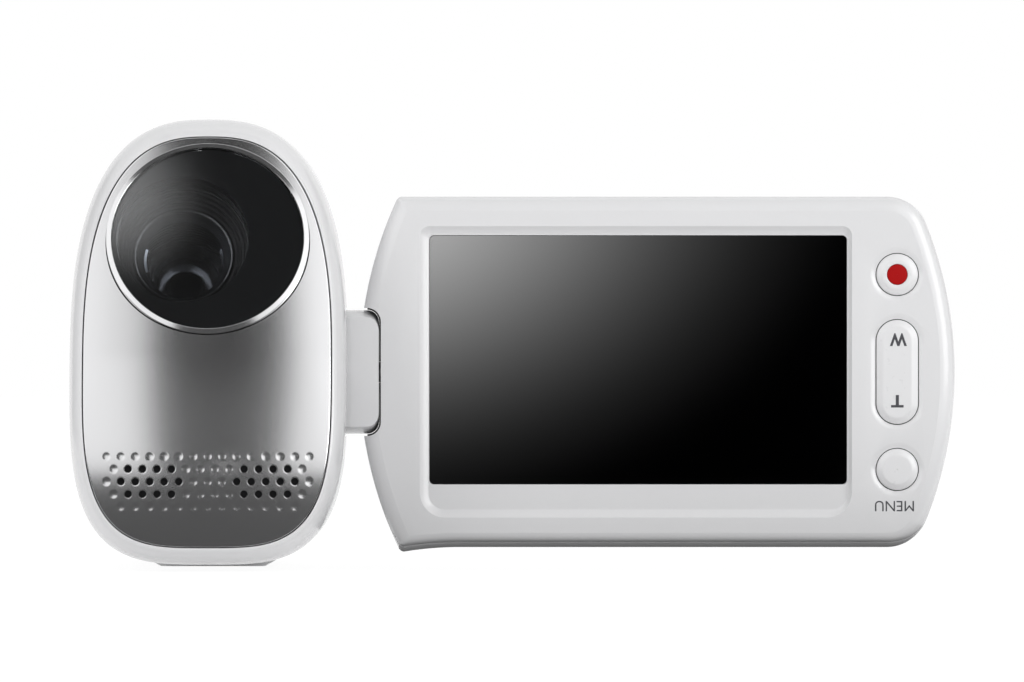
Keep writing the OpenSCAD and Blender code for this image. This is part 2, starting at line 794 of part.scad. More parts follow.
module record_button() {
  y1 = rear_face_y(record_z + record_r / 2);
  color("lightgray") translate([rear_control_x, 0, record_z]) {
    upright(y1 - 3) turned([[0, 0], [record_r, 0], [record_r, 3.3], [record_r - 0.7, 3.9], [3.4, 3.4], [0, 3.3]]);
  }
  color("red") translate([rear_control_x, y1 + 0.25, record_z]) upright() cylinder(r = 2, h = 0.5);
}

module mode_button() {
  y1 = rear_face_y(mode_z);
  color("lightgray") translate([rear_control_x, y1 - 3, mode_z]) upright()
    turned([[0, 0], [mode_r, 0], [mode_r, 3.2], [mode_r - 0.5, 3.7], [0, 3.7]]);
}

module status_lights() {
  for (k = [0, 1]) color(k == 0 ? "lime" : "orange")
    translate([light_x(k), rear_face_y(light_z) - 2.4, light_z]) upright() cylinder(r = light_r - 0.02, h = 2.2);
}

module bay_key(y) {
  on_bay(y, bay_key_z) translate([0, 0, -wall - 0.2]) slab([bay_key_w, bay_key_h, wall + 0.2], 1.3);
  on_bay(y, bay_key_z) translate([0, 0, -board_gap - wall + travel]) cylinder(r = 0.9, h = board_gap);
}

module power_button() { color("lightgray") bay_key(bay_key_y[0]); }
module display_button() { color("lightgray") bay_key(bay_key_y[1]); }
module auto_button() { color("lightgray") bay_key(bay_key_y[2]); }

flap_x = -section_w(flap_pin_y) + flap_hub_r + 0.1;

module flap_prism(clear) {
  translate([-body_w, flap_pin_y - flap_hub_r - clear, flap_z0 - clear])
    cube([body_w - 12, flap_end_y - flap_pin_y + flap_hub_r + 2 * clear, flap_z1 - flap_z0 + 2 * clear]);
}

module jack_cover() {
  color("whitesmoke") difference() {
    union() {
      intersection() {
        body_wall([18, 32, dome_y, rear_seam_y], 130, 230);
        translate([-body_w, flap_pin_y, flap_z0]) cube([body_w, flap_end_y - flap_pin_y, flap_z1 - flap_z0]);
      }
      translate([flap_x, flap_pin_y, flap_z0]) cylinder(r = flap_hub_r, h = flap_z1 - flap_z0);
    }
    flap_pins(running);
  }
}

module jack_block() {
  x0 = -section_w(flap_pin_y) + wall + 0.7;
  color(black) difference() {
    translate([x0, flap_pin_y + 1.2, flap_z0 - 1.5]) cube([bay_mid_x - battery_x / 2 - gap - case_wall - 0.1 - x0, 14, flap_z1 - flap_z0 + 3]);
    translate([x0 - 1, flap_pin_y + 3, flap_z0 + 1.5]) cube([3.5, 10.5, 3.5]);
    translate([x0 - 1, flap_pin_y + 3, flap_z0 + 7]) cube([3.5, 7, 3]);
    translate([x0 - 1, flap_pin_y + 6, flap_z0 + 13.4]) rotate([0, 90, 0]) cylinder(r = 1.8, h = 3.5);
  }
}

module flap_pins(clear = 0) {
  for (z = [flap_z0 - 1.5 - clear, flap_z1 - 1.8 - clear])
    translate([flap_x, flap_pin_y, z]) cylinder(r = 0.35 + clear, h = 3.3 + 2 * clear, $fn = 24);
}

module jack_pins() {
  color(steel) flap_pins();
}

module case_screws() {
  color(steel) for (s = [-1, 1]) translate([s * 5.5, screw_y, 0.4]) difference() {
    union() {
      cylinder(r = 1.7, h = 0.8);
      cylinder(r = 0.85, h = 4.2);
    }
    for (a = [0, 90]) rotate([0, 0, a]) cube([2.2, 0.4, 0.8], center = true);
  }
}

// ---------- hinge ----------

bracket_t = 1.2;
bracket_y = swing_y - panel_t / 2 - face_gap;

module hinge_bracket_space() {
  translate([bay_x - wall - 0.1, bracket_y - bracket_t - 0.1, twist_z - block_h / 2 - face_gap - bracket_t - 0.1])
    cube([20, panel_t + 1.4 + bracket_t, block_h + 2 * face_gap + 2 * bracket_t + 0.2]);
}

module hinge_bracket() {
  ear_z = block_h / 2 + face_gap;
  color("gray") difference() {
    union() {
      translate([bay_x - bracket_t, bracket_y - bracket_t, twist_z - ear_z - bracket_t]) difference() {
        cube([bracket_t + swing_x - bay_x + 2.6, panel_t + 1.2 + bracket_t, 2 * (ear_z + bracket_t)]);
        translate([bracket_t, bracket_t, bracket_t]) cube([body_w, body_w, 2 * ear_z]);
      }
    }
    translate([swing_x, swing_y, 0]) cylinder(r = pin_r, h = crown_z);
  }
}

module swing_pin() {
  ear_z = block_h / 2 + face_gap + bracket_t;
  color(steel) translate([swing_x, swing_y, twist_z - ear_z]) cylinder(r = pin_r, h = 2 * ear_z);
}

block_half_t = panel_t / 2 - 0.3;

// Outer form of the hinge block: a rounded slab that ends in a barrel round the swing pin.
module block_form(inset = 0) {
  h = block_h / 2 - inset;
  t = block_half_t - inset;
  intersection() {
    union() {
      translate([swing_x, swing_y, twist_z - h]) cylinder(r = t, h = 2 * h);
      translate([swing_x, swing_y - t, twist_z]) rotate([90, 0, 0]) mirror([0, 0, 1]) linear_extrude(2 * t) {
        translate([0, -h]) square([block_reach - inset - 1.7, 2 * h]);
        translate([0, -h + 1.7]) square([block_reach - inset, 2 * h - 3.4]);
        for (s = [-1, 1]) translate([block_reach - inset - 1.7, s * (h - 1.7)]) circle(1.7, $fn = 32);
      }
    }
    translate([swing_x, swing_y, twist_z]) rotate([0, 90, 0]) rotate_extrude($fn = 96)
      polygon(concat([[0, -10], [h, -10]], arc(h - 1.7, block_reach - inset - 1.7, 1.7, 0, 90, 6), [[0, block_reach - inset]]));
  }
}

module block_bores() {
  translate([swing_x, swing_y, 0]) cylinder(r = pin_r + running, h = crown_z);
  translate([swing_x + 4.4, swing_y, twist_z]) rotate([0, 90, 0]) cylinder(r = shaft_r + running, h = 20);
  translate([swing_x + 4.4, swing_y, twist_z]) rotate([0, 90, 0]) cylinder(r = shaft_r + 1 + running, h = 1.2);
}

module hinge_block() {
  color(white) difference() {
    block_form();
    block_bores();
    cover_prism();
  }
}

// The rear half beyond the barrel is a separate cover.
module cover_prism() {
  translate([swing_x + block_half_t, swing_y + 2.4, 0]) cube([20, 20, crown_z]);
}

module hinge_block_cover() {
  color(white) difference() {
    intersection() {
      block_form();
      cover_prism();
    }
    block_bores();
  }
}

module twist_shaft() {
  color(steel) translate([swing_x + 4.4, swing_y, twist_z]) rotate([0, 90, 0]) {
    cylinder(r = shaft_r, h = 11.5);
    translate([0, 0, running]) cylinder(r = shaft_r + 1, h = 1.1);
  }
}

module twist_bracket() {
  color("gray") translate([swing_x + block_reach + 0.3 + panel_wall + 0.1, swing_y - 0.6, twist_z - 10]) difference() {
    union() {
      cube([1, 1.2, 20]);
      translate([0, 0, 5]) cube([5, 1.2, 10]);
      translate([0, 0.6 - shaft_r - 0.45, 10 - shaft_r - 0.45]) cube([2.4, 2 * shaft_r + 0.9, 2 * shaft_r + 0.9]);
    }
    translate([-1, 0.6, 10]) rotate([0, 90, 0]) cylinder(r = shaft_r, h = 20);
  }
}

// ---------- screen ----------

// Arc of n steps about [cx, cz] from angle a0 to a1.
function arc(cx, cz, r, a0, a1, n) = [for (k = [0 : n]) let (a = a0 + (a1 - a0) * k / n) [cx + r * cos(a), cz + r * sin(a)]];

// Outline of the screen housing in distance from the swing axis and height from the twist axis, shrunk by i.
function panel_outline(i = 0) =
  let (
    h = panel_h / 2 - i,
    f = max(0.6, far_corner_r - i), g = max(0.3, near_corner_r - i),
    fr = panel_far_r - i, nr = panel_near_r - i,
    fx = panel_far_c + sqrt(pow(fr - f, 2) - pow(h - f, 2)), fa = atan2(h - f, fx - panel_far_c),
    nx = panel_near_c - sqrt(pow(nr - g, 2) - pow(h - g, 2)), na = atan2(h - g, panel_near_c - nx),
    lip = max(0, lip_drop - i * 0.1),
    lx = panel_near_c - sqrt(pow(nr - g, 2) - pow(h + lip - g, 2)), la = atan2(h + lip - g, panel_near_c - lx)
  )
  concat(
    arc(panel_far_c, 0, fr, -fa, fa, 10),
    arc(fx, h - f, f, fa + 18, 90, 4),
    arc(nx, h - g, g, 90, 180 - na, 3),
    arc(panel_near_c, 0, nr, 180 - na + 3, 180 + la - 3, 8),
    arc(lx, -h - lip + g, g, 180 + la, 270, 3),
    [for (k = [1 : 4]) [lx + lip_run * k / 4, -h - lip * pow(1 - k / 4, 2)]],
    arc(fx, -h + f, f, -90, -fa - 18, 4)
  );

// Skin through the panel outline at pairs of depth and inset. Depth runs from the face to the rear.
module panel_loft(stations) {
  loft([for (s = stations) [for (p = panel_outline(s[1])) [swing_x + p[0], swing_y + s[0], twist_z + p[1]]]]);
}

// Everything between two depths of the screen housing.
module between(d0, d1) {
  translate([-body_w, swing_y + d0, -body_w]) cube([5 * body_w, d1 - d0, 4 * body_w]);
}

face_d = -panel_t / 2;
back_d = panel_t / 2;
split_d = -3;
spigot_d = -2.1;

module block_notch(clear) {
  translate([swing_x - 5, swing_y - panel_t, twist_z]) rotate([90, 0, 0]) mirror([0, 0, 1]) linear_extrude(2 * panel_t) {
    r = 1.7 + clear;
    translate([0, -block_h / 2 - clear]) square([5 + block_reach + clear - r, block_h + 2 * clear]);
    translate([0, -block_h / 2 - clear + r]) square([5 + block_reach + clear, block_h + 2 * clear - 2 * r]);
    for (s = [-1, 1]) translate([5 + block_reach + clear - r, s * (block_h / 2 + clear - r)]) circle(r, $fn = 32);
  }
}

// Moves to a point of the screen face, with local +Z into the housing.
module on_face(u, z, d = 0) {
  translate([swing_x + u, swing_y + face_d + d, twist_z + z]) upright() children();
}

recess_d = 0.7;
recess_slope = 1;
recess_below = 5;

// Rounded rectangle of corner radius r as points, lower left corner at [x0, z0].
function box_ring(x0, z0, x1, z1, r) = concat(
  arc(x1 - r, z1 - r, r, 0, 90, 3), arc(x0 + r, z1 - r, r, 90, 180, 3),
  arc(x0 + r, z0 + r, r, 180, 270, 3), arc(x1 - r, z0 + r, r, 270, 360, 3));

module display_recess() {
  x0 = screen_x - screen_w / 2;
  x1 = screen_x + screen_w / 2;
  z0 = screen_dz - screen_h / 2;
  z1 = screen_dz + screen_h / 2;
  intersection() {
    loft([for (s = [[-1, 2.4], [0, 1.2], [0.5, 0.5], [1, 0.1], [1.6, -0.1]])
      [for (p = box_ring(x0 - recess_slope * s[1], z0 - recess_below - recess_slope * s[1], x1 + recess_slope * s[1],
          z1 + recess_slope * s[1], 1.5 + 0.6 * s[1]))
        [swing_x + p[0], swing_y + face_d + recess_d * s[0], twist_z + p[1]]]]);
    between(face_d - 1, face_d + recess_d);
  }
}

module dish(r, d) {
  translate([0, 0, -0.01]) cylinder(r1 = r + 0.8, r2 = r, h = d);
}

rocker_l = 15.3 - 0.3;
module stadium(r, l, h) {
  translate([0, 0, 0]) linear_extrude(h) {
    square([2 * r, l - 2 * r], center = true);
    for (s = [-1, 1]) translate([0, s * (l / 2 - r)]) circle(r);
  }
}

module screen_bezel() {
  key_r = key_d / 2;
  color(white) difference() {
    union() {
      intersection() {
        panel_loft([[face_d - 0.3, 2.7], [face_d, 2.1], [face_d + 0.3, 1.55], [face_d + 0.7, 0.95], [face_d + 1.1, 0.5],
          [split_d + 0.5, 0.1]]);
        between(face_d, split_d);
      }
      difference() {
        intersection() {
          panel_loft([[split_d - 0.7, panel_wall + 0.35], [spigot_d + 0.5, panel_wall + 0.35]]);
          between(split_d - 0.2, spigot_d);
        }
        block_notch(0.3 + panel_wall + 0.15);
      }
    }
    display_recess();
    on_face(screen_x, screen_dz, -1) slab([screen_w, screen_h, 6], 0.7);
    for (s = [-1, 1]) on_face(key_x, s * key_pitch, 0) {
      cylinder(r = key_r + gap * 0.7, h = 9);
      dish(key_r + gap * 0.7, 0.3);
    }
    on_face(key_x, 0, -1) stadium(key_r + gap * 0.7, rocker_l + 1.4 * gap, 9);
    block_notch(0.3);
    translate([swing_x, swing_y, twist_z]) rotate([0, 90, 0]) cylinder(r = shaft_r + 0.3, h = 16);
  }
}

module screen_cover() {
  color(white) difference() {
    intersection() {
      panel_loft([[split_d - 0.5, 0.3], [-2.2, 0], [0.5, 0], [1.4, 0.35], [2.2, 1.4], [2.9, 3.2], [3.5, 5.8], [4, 9], [4.3, 12.5], [back_d, 17]]);
      between(split_d, back_d + 1);
    }
    difference() {
      panel_loft([[split_d - 0.5, panel_wall + 0.25], [-2.2, panel_wall + 0.1], [0.6, panel_wall], [1.2, panel_wall + 0.8], [2, panel_wall + 2.8], [2.7, panel_wall + 6], [3.3, panel_wall + 11]]);
      block_notch(0.3 + panel_wall);
    }
    block_notch(0.3);
    translate([swing_x, swing_y, twist_z]) rotate([0, 90, 0]) cylinder(r = shaft_r + 0.3, h = 16);
  }
}

module screen_glass() {
  color("black") on_face(screen_x, screen_dz, recess_d + 0.02) slab([screen_w - 0.06, screen_h - 0.06, 1], 0.65);
}

module screen_module() {
  color("dimgray") on_face(screen_x, screen_dz, recess_d + 1.05) slab([screen_w - 1, screen_h - 1, 2.4], 0.6);
}

board_d = 2.9;
module screen_board() {
  color("darkgreen") on_face(key_x - 0.7, 0, board_d + 0.25) slab([8, 38, 0.8], 1);
  color("gray") for (z = [-key_pitch, -5, 5, key_pitch]) on_face(key_x, z, board_d - 0.15) cylinder(r = 1.1, h = 0.4);
}

// Cap with a dished top, from the face down to its switch.
module key_cap(r) {
  turned([[0, -0.05], [r * 0.62, -0.12], [r - 0.35, -0.35], [r, -0.1], [r, 2.1], [0, 2.1]]);
}

module screen_record_button() {
  color(white) on_face(key_x, key_pitch, 0) difference() {
    key_cap(key_d / 2);
    translate([0, 0, -1]) cylinder(r = 1.5, h = 1.8);
  }
}

module screen_record_dot() {
  color("darkred") on_face(key_x, key_pitch, 0) translate([0, 0, -0.1]) cylinder(r = 1.48, h = 0.85);
}

module screen_menu_button() {
  color(white) on_face(key_x, -key_pitch, 0) key_cap(key_d / 2);
}

module screen_zoom_rocker() {
  r = key_d / 2;
  color(white) on_face(key_x, 0, 0) difference() {
    union() {
      translate([0, 0, -0.1]) stadium(r, rocker_l, 1.9);
      translate([0, 0, -0.35]) stadium(r - 0.9, rocker_l - 1.8, 0.5);
      translate([-r + 0.5, 0, 1.75]) rotate([0, 90, 0]) cylinder(r = 0.7, h = 2 * r - 1);
    }
  }
}

screw_top = screen_dz + screen_h / 2 + 1.4;
screw_foot = 5.2 - panel_h / 2;
screw_far_x = screen_x0 + screen_w + 0.85;
screw_places = [
  [screen_x0 + 3.45, screw_top], [screen_x0 + 3.45, screw_foot],
  [screw_far_x, screw_top - 0.5], [screw_far_x, screw_foot - 0.5]
];

module screen_screws() {
  color(steel) for (p = screw_places) on_face(p[0], p[1], spigot_d - face_d + 0.02) cylinder(r = 0.8, h = 3.2);
}

front_shell();
front_plate();
front_frame();
lens_ring();
lens_window();
lens_mask();
lens_barrel();
front_element();
zoom_group();
zoom_motor();
iris_plate();
focus_group();
guide_rods();
image_sensor();
microphone_cloth();
microphone_capsules();
top_shell();
right_shell();
left_panel();
rear_cover();
base_plate();
tripod_socket();
chassis();
battery_case();
battery_pack();
battery_door();
battery_door_pin();
memory_card();
card_slot();
main_board();
speaker();
zoom_lever();
photo_button();
record_button();
mode_button();
status_lights();
power_button();
display_button();
auto_button();
jack_cover();
jack_block();
jack_pins();
case_screws();
hinge_bracket();
swing_pin();
hinge_block();
hinge_block_cover();
twist_shaft();
twist_bracket();
screen_bezel();
screen_cover();
screen_glass();
screen_module();
screen_board();
screen_record_button();
screen_record_dot();
screen_zoom_rocker();
screen_menu_button();
screen_screws();
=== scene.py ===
"""Looks of a compact camcorder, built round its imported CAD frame.

Lengths in this file are millimetres, and each mesh is scaled to metres when it is made.
X points to the camcorder's own left, where the screen is, Y to its rear and Z up, as in the frame.
"""

import json
import math

import bmesh
import bpy
import numpy as np
from mathutils import Matrix, Vector

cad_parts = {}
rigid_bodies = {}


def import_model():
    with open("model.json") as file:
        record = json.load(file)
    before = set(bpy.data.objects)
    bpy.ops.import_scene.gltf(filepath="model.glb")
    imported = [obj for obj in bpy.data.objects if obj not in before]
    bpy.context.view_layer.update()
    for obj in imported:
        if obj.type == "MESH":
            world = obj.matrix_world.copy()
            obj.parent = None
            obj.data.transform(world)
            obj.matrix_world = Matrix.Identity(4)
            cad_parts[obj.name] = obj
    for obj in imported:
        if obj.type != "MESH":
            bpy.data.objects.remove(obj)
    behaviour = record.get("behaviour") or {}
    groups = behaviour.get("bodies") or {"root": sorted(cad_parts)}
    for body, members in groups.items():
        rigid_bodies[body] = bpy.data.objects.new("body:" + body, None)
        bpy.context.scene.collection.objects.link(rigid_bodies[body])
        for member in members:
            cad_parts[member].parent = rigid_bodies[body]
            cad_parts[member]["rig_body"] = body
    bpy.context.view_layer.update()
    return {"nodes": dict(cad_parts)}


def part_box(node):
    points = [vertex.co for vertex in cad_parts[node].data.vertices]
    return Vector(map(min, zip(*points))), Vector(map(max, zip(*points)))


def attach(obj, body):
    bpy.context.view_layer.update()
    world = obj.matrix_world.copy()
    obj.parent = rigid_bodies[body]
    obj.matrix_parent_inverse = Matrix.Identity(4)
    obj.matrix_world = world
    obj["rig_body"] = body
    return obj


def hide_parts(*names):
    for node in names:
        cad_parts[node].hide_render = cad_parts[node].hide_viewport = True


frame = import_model()
nodes = frame["nodes"]

MM = 0.001
ROOT = "camcorder"
SCREEN = "screen_panel"

# ---------- sizes of the body, as in the frame ----------

body_w, body_l, crown_z, rear_crown_z = 39.5, 118, 64.5, 58.5
waist_z, belly_z, wall, front_y = 29.4, 0.8, 1.6, -52
lens_tilt, window_z, window_r, ring_band = 20, 47.3, 13.75, 0.75
optic_x, plate_t, rim_w, rim_depth = -3.6, 0.7, 1.95, 5
chin_r, plan_r, chin_top_z = 50, 90, 31
mic_pitch, mic_hole_r, mic_z = 2.06, 0.53, 12.7
round_up, round_down = 2.65, 3.5
half_w = body_w / 2
crown_b = crown_z - waist_z
belly_b = waist_z - belly_z
rear_y = front_y + body_l
chin_z = chin_top_z - chin_r * math.sin(math.radians(lens_tilt))
plate_half_w = half_w - rim_w
plate_up = crown_b - rim_w * 1.3
plate_down = belly_b - rim_w * 1.25
mic_row = mic_pitch * math.sin(math.radians(60))
taper_from_y, dome_y, rear_seam_y = -9, 44, 50
rear_half_w = half_w - 0.5
ring_r = window_r + ring_band
ring_depth = 2.6

# Half of each gap between the shells, the one along the top in radians.
curved_seam, rear_seam, top_seam_turn = 0.04, 0.05, 0.002
top_seam = math.radians(120)

# Controls on top and on the back.
lever_y, photo_y, control_x = 34, 16, -2.5
lever_r, photo_r = 5.6, 3.8
rear_control_x, record_z, mode_z, light_z = -4.5, 31, 46, 52
record_r, mode_r, light_r, light_dx = 6, 3, 0.7, 2

# Hinge and screen.
panel_t, panel_h, panel_wall = 9, 50.4, 1.1
face_gap = 0.35
swing_x = half_w - face_gap / 2 - panel_t / 2
swing_y = front_y + 24.5
twist_z = 28.25
block_h, block_reach, shaft_r = 17.8, 9.25, 1.5
bay_x = swing_x - panel_t / 2 - face_gap
bay_top_z = twist_z + panel_h / 2 + 1.15
seam_c, seam_r = 49.65, 45.7
near_c, near_r, far_c, far_r = 65.8, 59.4, 34.5, 57.5
far_corner_r, near_corner_r, lip_drop, lip_run = 6, 0.9, 0.65, 8
screen_w, screen_h = 59.9, 35.7
screen_x = 16.55 + screen_w / 2
screen_dz = 1.75
key_x, key_pitch, key_r, gap = 83.7, 14, 3, 0.25
rocker_l = 15
face_d, back_d, split_d = -panel_t / 2, panel_t / 2, -3
recess_d, notch_gap = 0.7, 0.3

# Foot, door and flap.
foot_w, foot_y0, foot_y1 = 18, -10, 7.4
door_x = (-11, 5.6)
door_y = (9.2, 45)
flap_y = (34, 48.5)
flap_z = (20, 36)


# ---------- curves and surfaces ----------


def spow(v, p):
    """Power that keeps the sign."""
    return np.sign(v) * np.abs(v) ** p


def egg(t, a, up, down):
    """Points of the body outline at angles t, in X and height above the waist."""
    s, c = np.sin(t), np.cos(t)
    n = np.where(s >= 0, round_up, round_down)
    b = np.where(s >= 0, up, down)
    return a * spow(c, 2 / n), b * spow(s, 2 / n)


def even_angles(count):
    """Angles that space the points of the outline evenly round it."""
    t = np.linspace(0, 2 * math.pi, 20001)
    x, z = egg(t, half_w, crown_b, belly_b)
    run = np.concatenate([[0], np.cumsum(np.hypot(np.diff(x), np.diff(z)))])
    return np.interp(np.linspace(0, run[-1], count, endpoint=False), run, t)


def setback(z):
    """How far the face lies behind its foremost point: the arc of the chin, then a tilted line."""
    z = np.asarray(z, float)
    low = chin_r - np.sqrt(np.maximum(chin_r**2 - (np.minimum(z, chin_top_z) - chin_z) ** 2, 0))
    tilt = math.radians(lens_tilt)
    high = chin_r * (1 - math.cos(tilt)) + (z - chin_top_z) * math.tan(tilt)
    return np.where(z < chin_top_z, low, high)


def face_y(x, z):
    """The front face: the chin line turned about an upright axis."""
    return front_y + plan_r - np.sqrt((plan_r - setback(z)) ** 2 - np.asarray(x, float) ** 2)


window_y = float(face_y(0, window_z))


def dome(y):
    """Share of the full section that is left at stations y, where the back closes."""
    y = np.asarray(y, float)
    closed = (y - dome_y) / (rear_y - dome_y)
    return np.where(y <= dome_y, 1, np.maximum(0, 1 - closed**2) ** 0.25)


def ease(y):
    """Share of the taper to the rear that is done at stations y."""
    return np.clip((np.asarray(y, float) - taper_from_y) / (dome_y - taper_from_y), 0, 1) ** 1.3


def reach_at(y):
    """Half width of the main body, and its height over the waist."""
    w = (half_w + (rear_half_w - half_w) * ease(y)) * dome(y)
    up = (crown_b + (rear_crown_z - crown_z) * ease(y)) * dome(y)
    return w, up


def section(t, y, inset=0.0):
    """Points of the main body's skin at outline angles t and stations y, sunk by inset."""
    w, up = reach_at(y)
    x, z = egg(t, w - inset, up - inset, belly_b * dome(y) - inset)
    return x, waist_z + z


def seam_y(z):
    """The curved seam behind the front shell, round the near edge of the closed screen."""
    return swing_y + seam_c - np.sqrt(seam_r**2 - (z - twist_z) ** 2)


def arc(cx, cz, r, a0, a1, n):
    """Points of an arc about a centre, from a0 to a1 degrees in n steps."""
    a = np.radians(np.linspace(a0, a1, n + 1))
    return [(cx + r * math.cos(k), cz + r * math.sin(k)) for k in a]


def panel_outline(i, fine):
    """Outline of the screen housing, measured from the hinge axes, shrunk by i.

    It runs up the far edge, back over the straight top, down the near edge, where a small lip
    hangs lower, and along the bottom. fine sets how close the points lie.
    """
    deg, h = math.degrees, panel_h / 2 - i
    f, g = max(0.6, far_corner_r - i), max(0.3, near_corner_r - i)
    fr, nr = far_r - i, near_r - i
    fx = far_c + math.sqrt((fr - f) ** 2 - (h - f) ** 2)
    fa = deg(math.atan2(h - f, fx - far_c))
    nx = near_c - math.sqrt((nr - g) ** 2 - (h - g) ** 2)
    na = deg(math.atan2(h - g, near_c - nx))
    lip = max(0, lip_drop - i * 0.1)
    lx = near_c - math.sqrt((nr - g) ** 2 - (h + lip - g) ** 2)
    la = deg(math.atan2(h + lip - g, near_c - lx))
    step = 2    # degrees between the near edge and its corners
    return (
        arc(far_c, 0, fr, -fa, fa, 10 * fine)
        + arc(fx, h - f, f, fa + 18 / fine, 90, 4 * fine)
        + arc(nx, h - g, g, 90, 180 - na, 3 * fine)
        + arc(near_c, 0, nr, 180 - na + step, 180 + la - step, 8 * fine)
        + arc(lx, -h - lip + g, g, 180 + la, 270, 3 * fine)
        + [(lx + lip_run * k, -h - lip * (1 - k) ** 2) for k in np.linspace(0.1, 1, 3 * fine)]
        + arc(fx, -h + f, f, -90, -fa - 18 / fine, 4 * fine)
    )


# ---------- mesh tools ----------


def linked(name, data):
    """A new object in the scene."""
    obj = bpy.data.objects.new(name, data)
    bpy.context.scene.collection.objects.link(obj)
    return obj


def solid(points, faces, name="tool", crease=30):
    """A mesh object from points and faces, with outward faces and smooth shading."""
    mesh = bpy.data.meshes.new(name)
    mesh.from_pydata((np.asarray(points, float) * MM).tolist(), [], faces)
    form = bmesh.new()
    form.from_mesh(mesh)
    bmesh.ops.remove_doubles(form, verts=form.verts, dist=1e-8)
    bmesh.ops.dissolve_degenerate(form, edges=form.edges, dist=1e-8)
    bmesh.ops.recalc_face_normals(form, faces=form.faces)
    form.to_mesh(mesh)
    form.free()
    obj = linked(name, mesh)
    soften(obj, crease)
    return obj


def soften(obj, crease):
    """Smooth shading, but for edges sharper than crease in degrees."""
    obj.data.shade_smooth()
    obj.data.set_sharp_from_angle(angle=math.radians(crease))


def baked(obj):
    """Mesh of an object as its modifiers or its outline make it."""
    view = bpy.context.evaluated_depsgraph_get()
    return bpy.data.meshes.new_from_object(obj.evaluated_get(view))


def settle(obj, crease=30):
    """Applies the modifiers, and shades the result."""
    mesh = baked(obj)
    obj.modifiers.clear()
    obj.data = mesh
    soften(obj, crease)


def carve(obj, *tools, operation="DIFFERENCE", crease=30):
    """Cuts the tools out of obj, or keeps what they share, and deletes them."""
    for tool in tools:
        change = obj.modifiers.new("carve", "BOOLEAN")
        change.operation = operation
        change.solver = "MANIFOLD"
        change.object = tool
    settle(obj, crease)
    for tool in tools:
        bpy.data.objects.remove(tool)


def strip(rings, closed_along=False):
    """Faces between rings of equal length, which run one after the other."""
    n, m = len(rings[0]), len(rings)
    points = [p for ring in rings for p in ring]
    faces = []
    for j in range(m if closed_along else m - 1):
        k = (j + 1) % m
        for i in range(n):
            h = (i + 1) % n
            faces.append((j * n + i, j * n + h, k * n + h, k * n + i))
    if not closed_along:
        faces += [tuple(range(n)), tuple((m - 1) * n + i for i in range(n))]
    return points, faces


def turned(profile, at=None, steps=144, crease=30):
    """A closed profile of radius and height, turned about Z, then placed by the matrix at."""
    a = np.linspace(0, 2 * math.pi, steps, endpoint=False)
    rings = []
    for r, h in profile:
        r = max(r, 1e-6)
        rings.append([(r * math.cos(k), r * math.sin(k), h) for k in a])
    points, faces = strip(rings, closed_along=True)
    return solid(moved(points, at), faces, crease=crease)


def moved(points, at):
    """Points seen through the matrix at, if there is one."""
    if at is None:
        return points
    p = np.c_[np.asarray(points, float), np.ones(len(points))]
    return (p @ np.array(at).T)[:, :3]


def prism(outline, low, high, at=None):
    """An outline in X and Y, extruded from low to high along Z, then placed."""
    rings = [[(x, y, h) for x, y in outline] for h in (low, high)]
    points, faces = strip(rings)
    return solid(moved(points, at), faces)


def block(x, y, z):
    """A box between pairs of X, Y and Z."""
    return prism([(x[0], y[0]), (x[1], y[0]), (x[1], y[1]), (x[0], y[1])], *z)


def post(r, low, high, at):
    """A round tool, used to bore holes."""
    return prism(arc(0, 0, r, 0, 355, 71), low, high, at)


def rounded(w, h, r):
    """Points of a rounded rectangle about the middle."""
    x, y = w / 2 - r, h / 2 - r
    return (
        arc(x, y, r, 0, 90, 8) + arc(-x, y, r, 90, 180, 8)
        + arc(-x, -y, r, 180, 270, 8) + arc(x, -y, r, 270, 360, 8)
    )


def stadium(r, length, n):
    """Points of a long hole, upright, with n steps to each round end."""
    return arc(0, length / 2 - r, r, 0, 180, n) + arc(0, r - length / 2, r, 180, 360, n)


def place(x, y, z, *turns):
    """Matrix that turns about X, Y or Z in the order given, then moves to a point."""
    m = Matrix.Identity(4)
    for axis, degrees in turns:
        m = Matrix.Rotation(math.radians(degrees), 4, axis) @ m
    return Matrix.Translation((x, y, z)) @ m


def at_lens(x=0.0):
    """Frame in the window's plane, with local Z out of the lens."""
    return place(x, window_y, window_z, ("X", 90 - lens_tilt))


def upright(x, y, z):
    """Frame with local Z towards the rear and local Y up."""
    return place(x, y, z, ("X", -90)) @ Matrix.Scale(-1, 4, (0, 1, 0))


def on_face(u, z, d=0.0):
    """Frame on the screen's face, from the hinge axes, with local Z into the housing."""
    return upright(swing_x + u, swing_y + face_d + d, twist_z + z)


def keep(obj, name, body, surface, *replaced, slot=None):
    """Names a finished piece, gives it its finish, and seats it on its body."""
    obj.name = name
    obj.data.name = name
    obj.data.materials.clear()
    obj.data.materials.append(surface)
    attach(obj, body)
    if replaced:
        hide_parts(*replaced)


# ---------- finishes ----------


def feed(tree, socket, source):
    """Gives a socket its value, or links it to another node's output."""
    if isinstance(source, bpy.types.NodeSocket):
        tree.links.new(source, socket)
    else:
        socket.default_value = source


def added(tree, kind, inputs, **settings):
    """A new shader node, with its settings made before its sockets are fed."""
    made = tree.nodes.new("ShaderNode" + kind)
    for name, value in settings.items():
        setattr(made, name, value)
    for socket, source in inputs.items():
        feed(tree, made.inputs[socket], source)
    return made


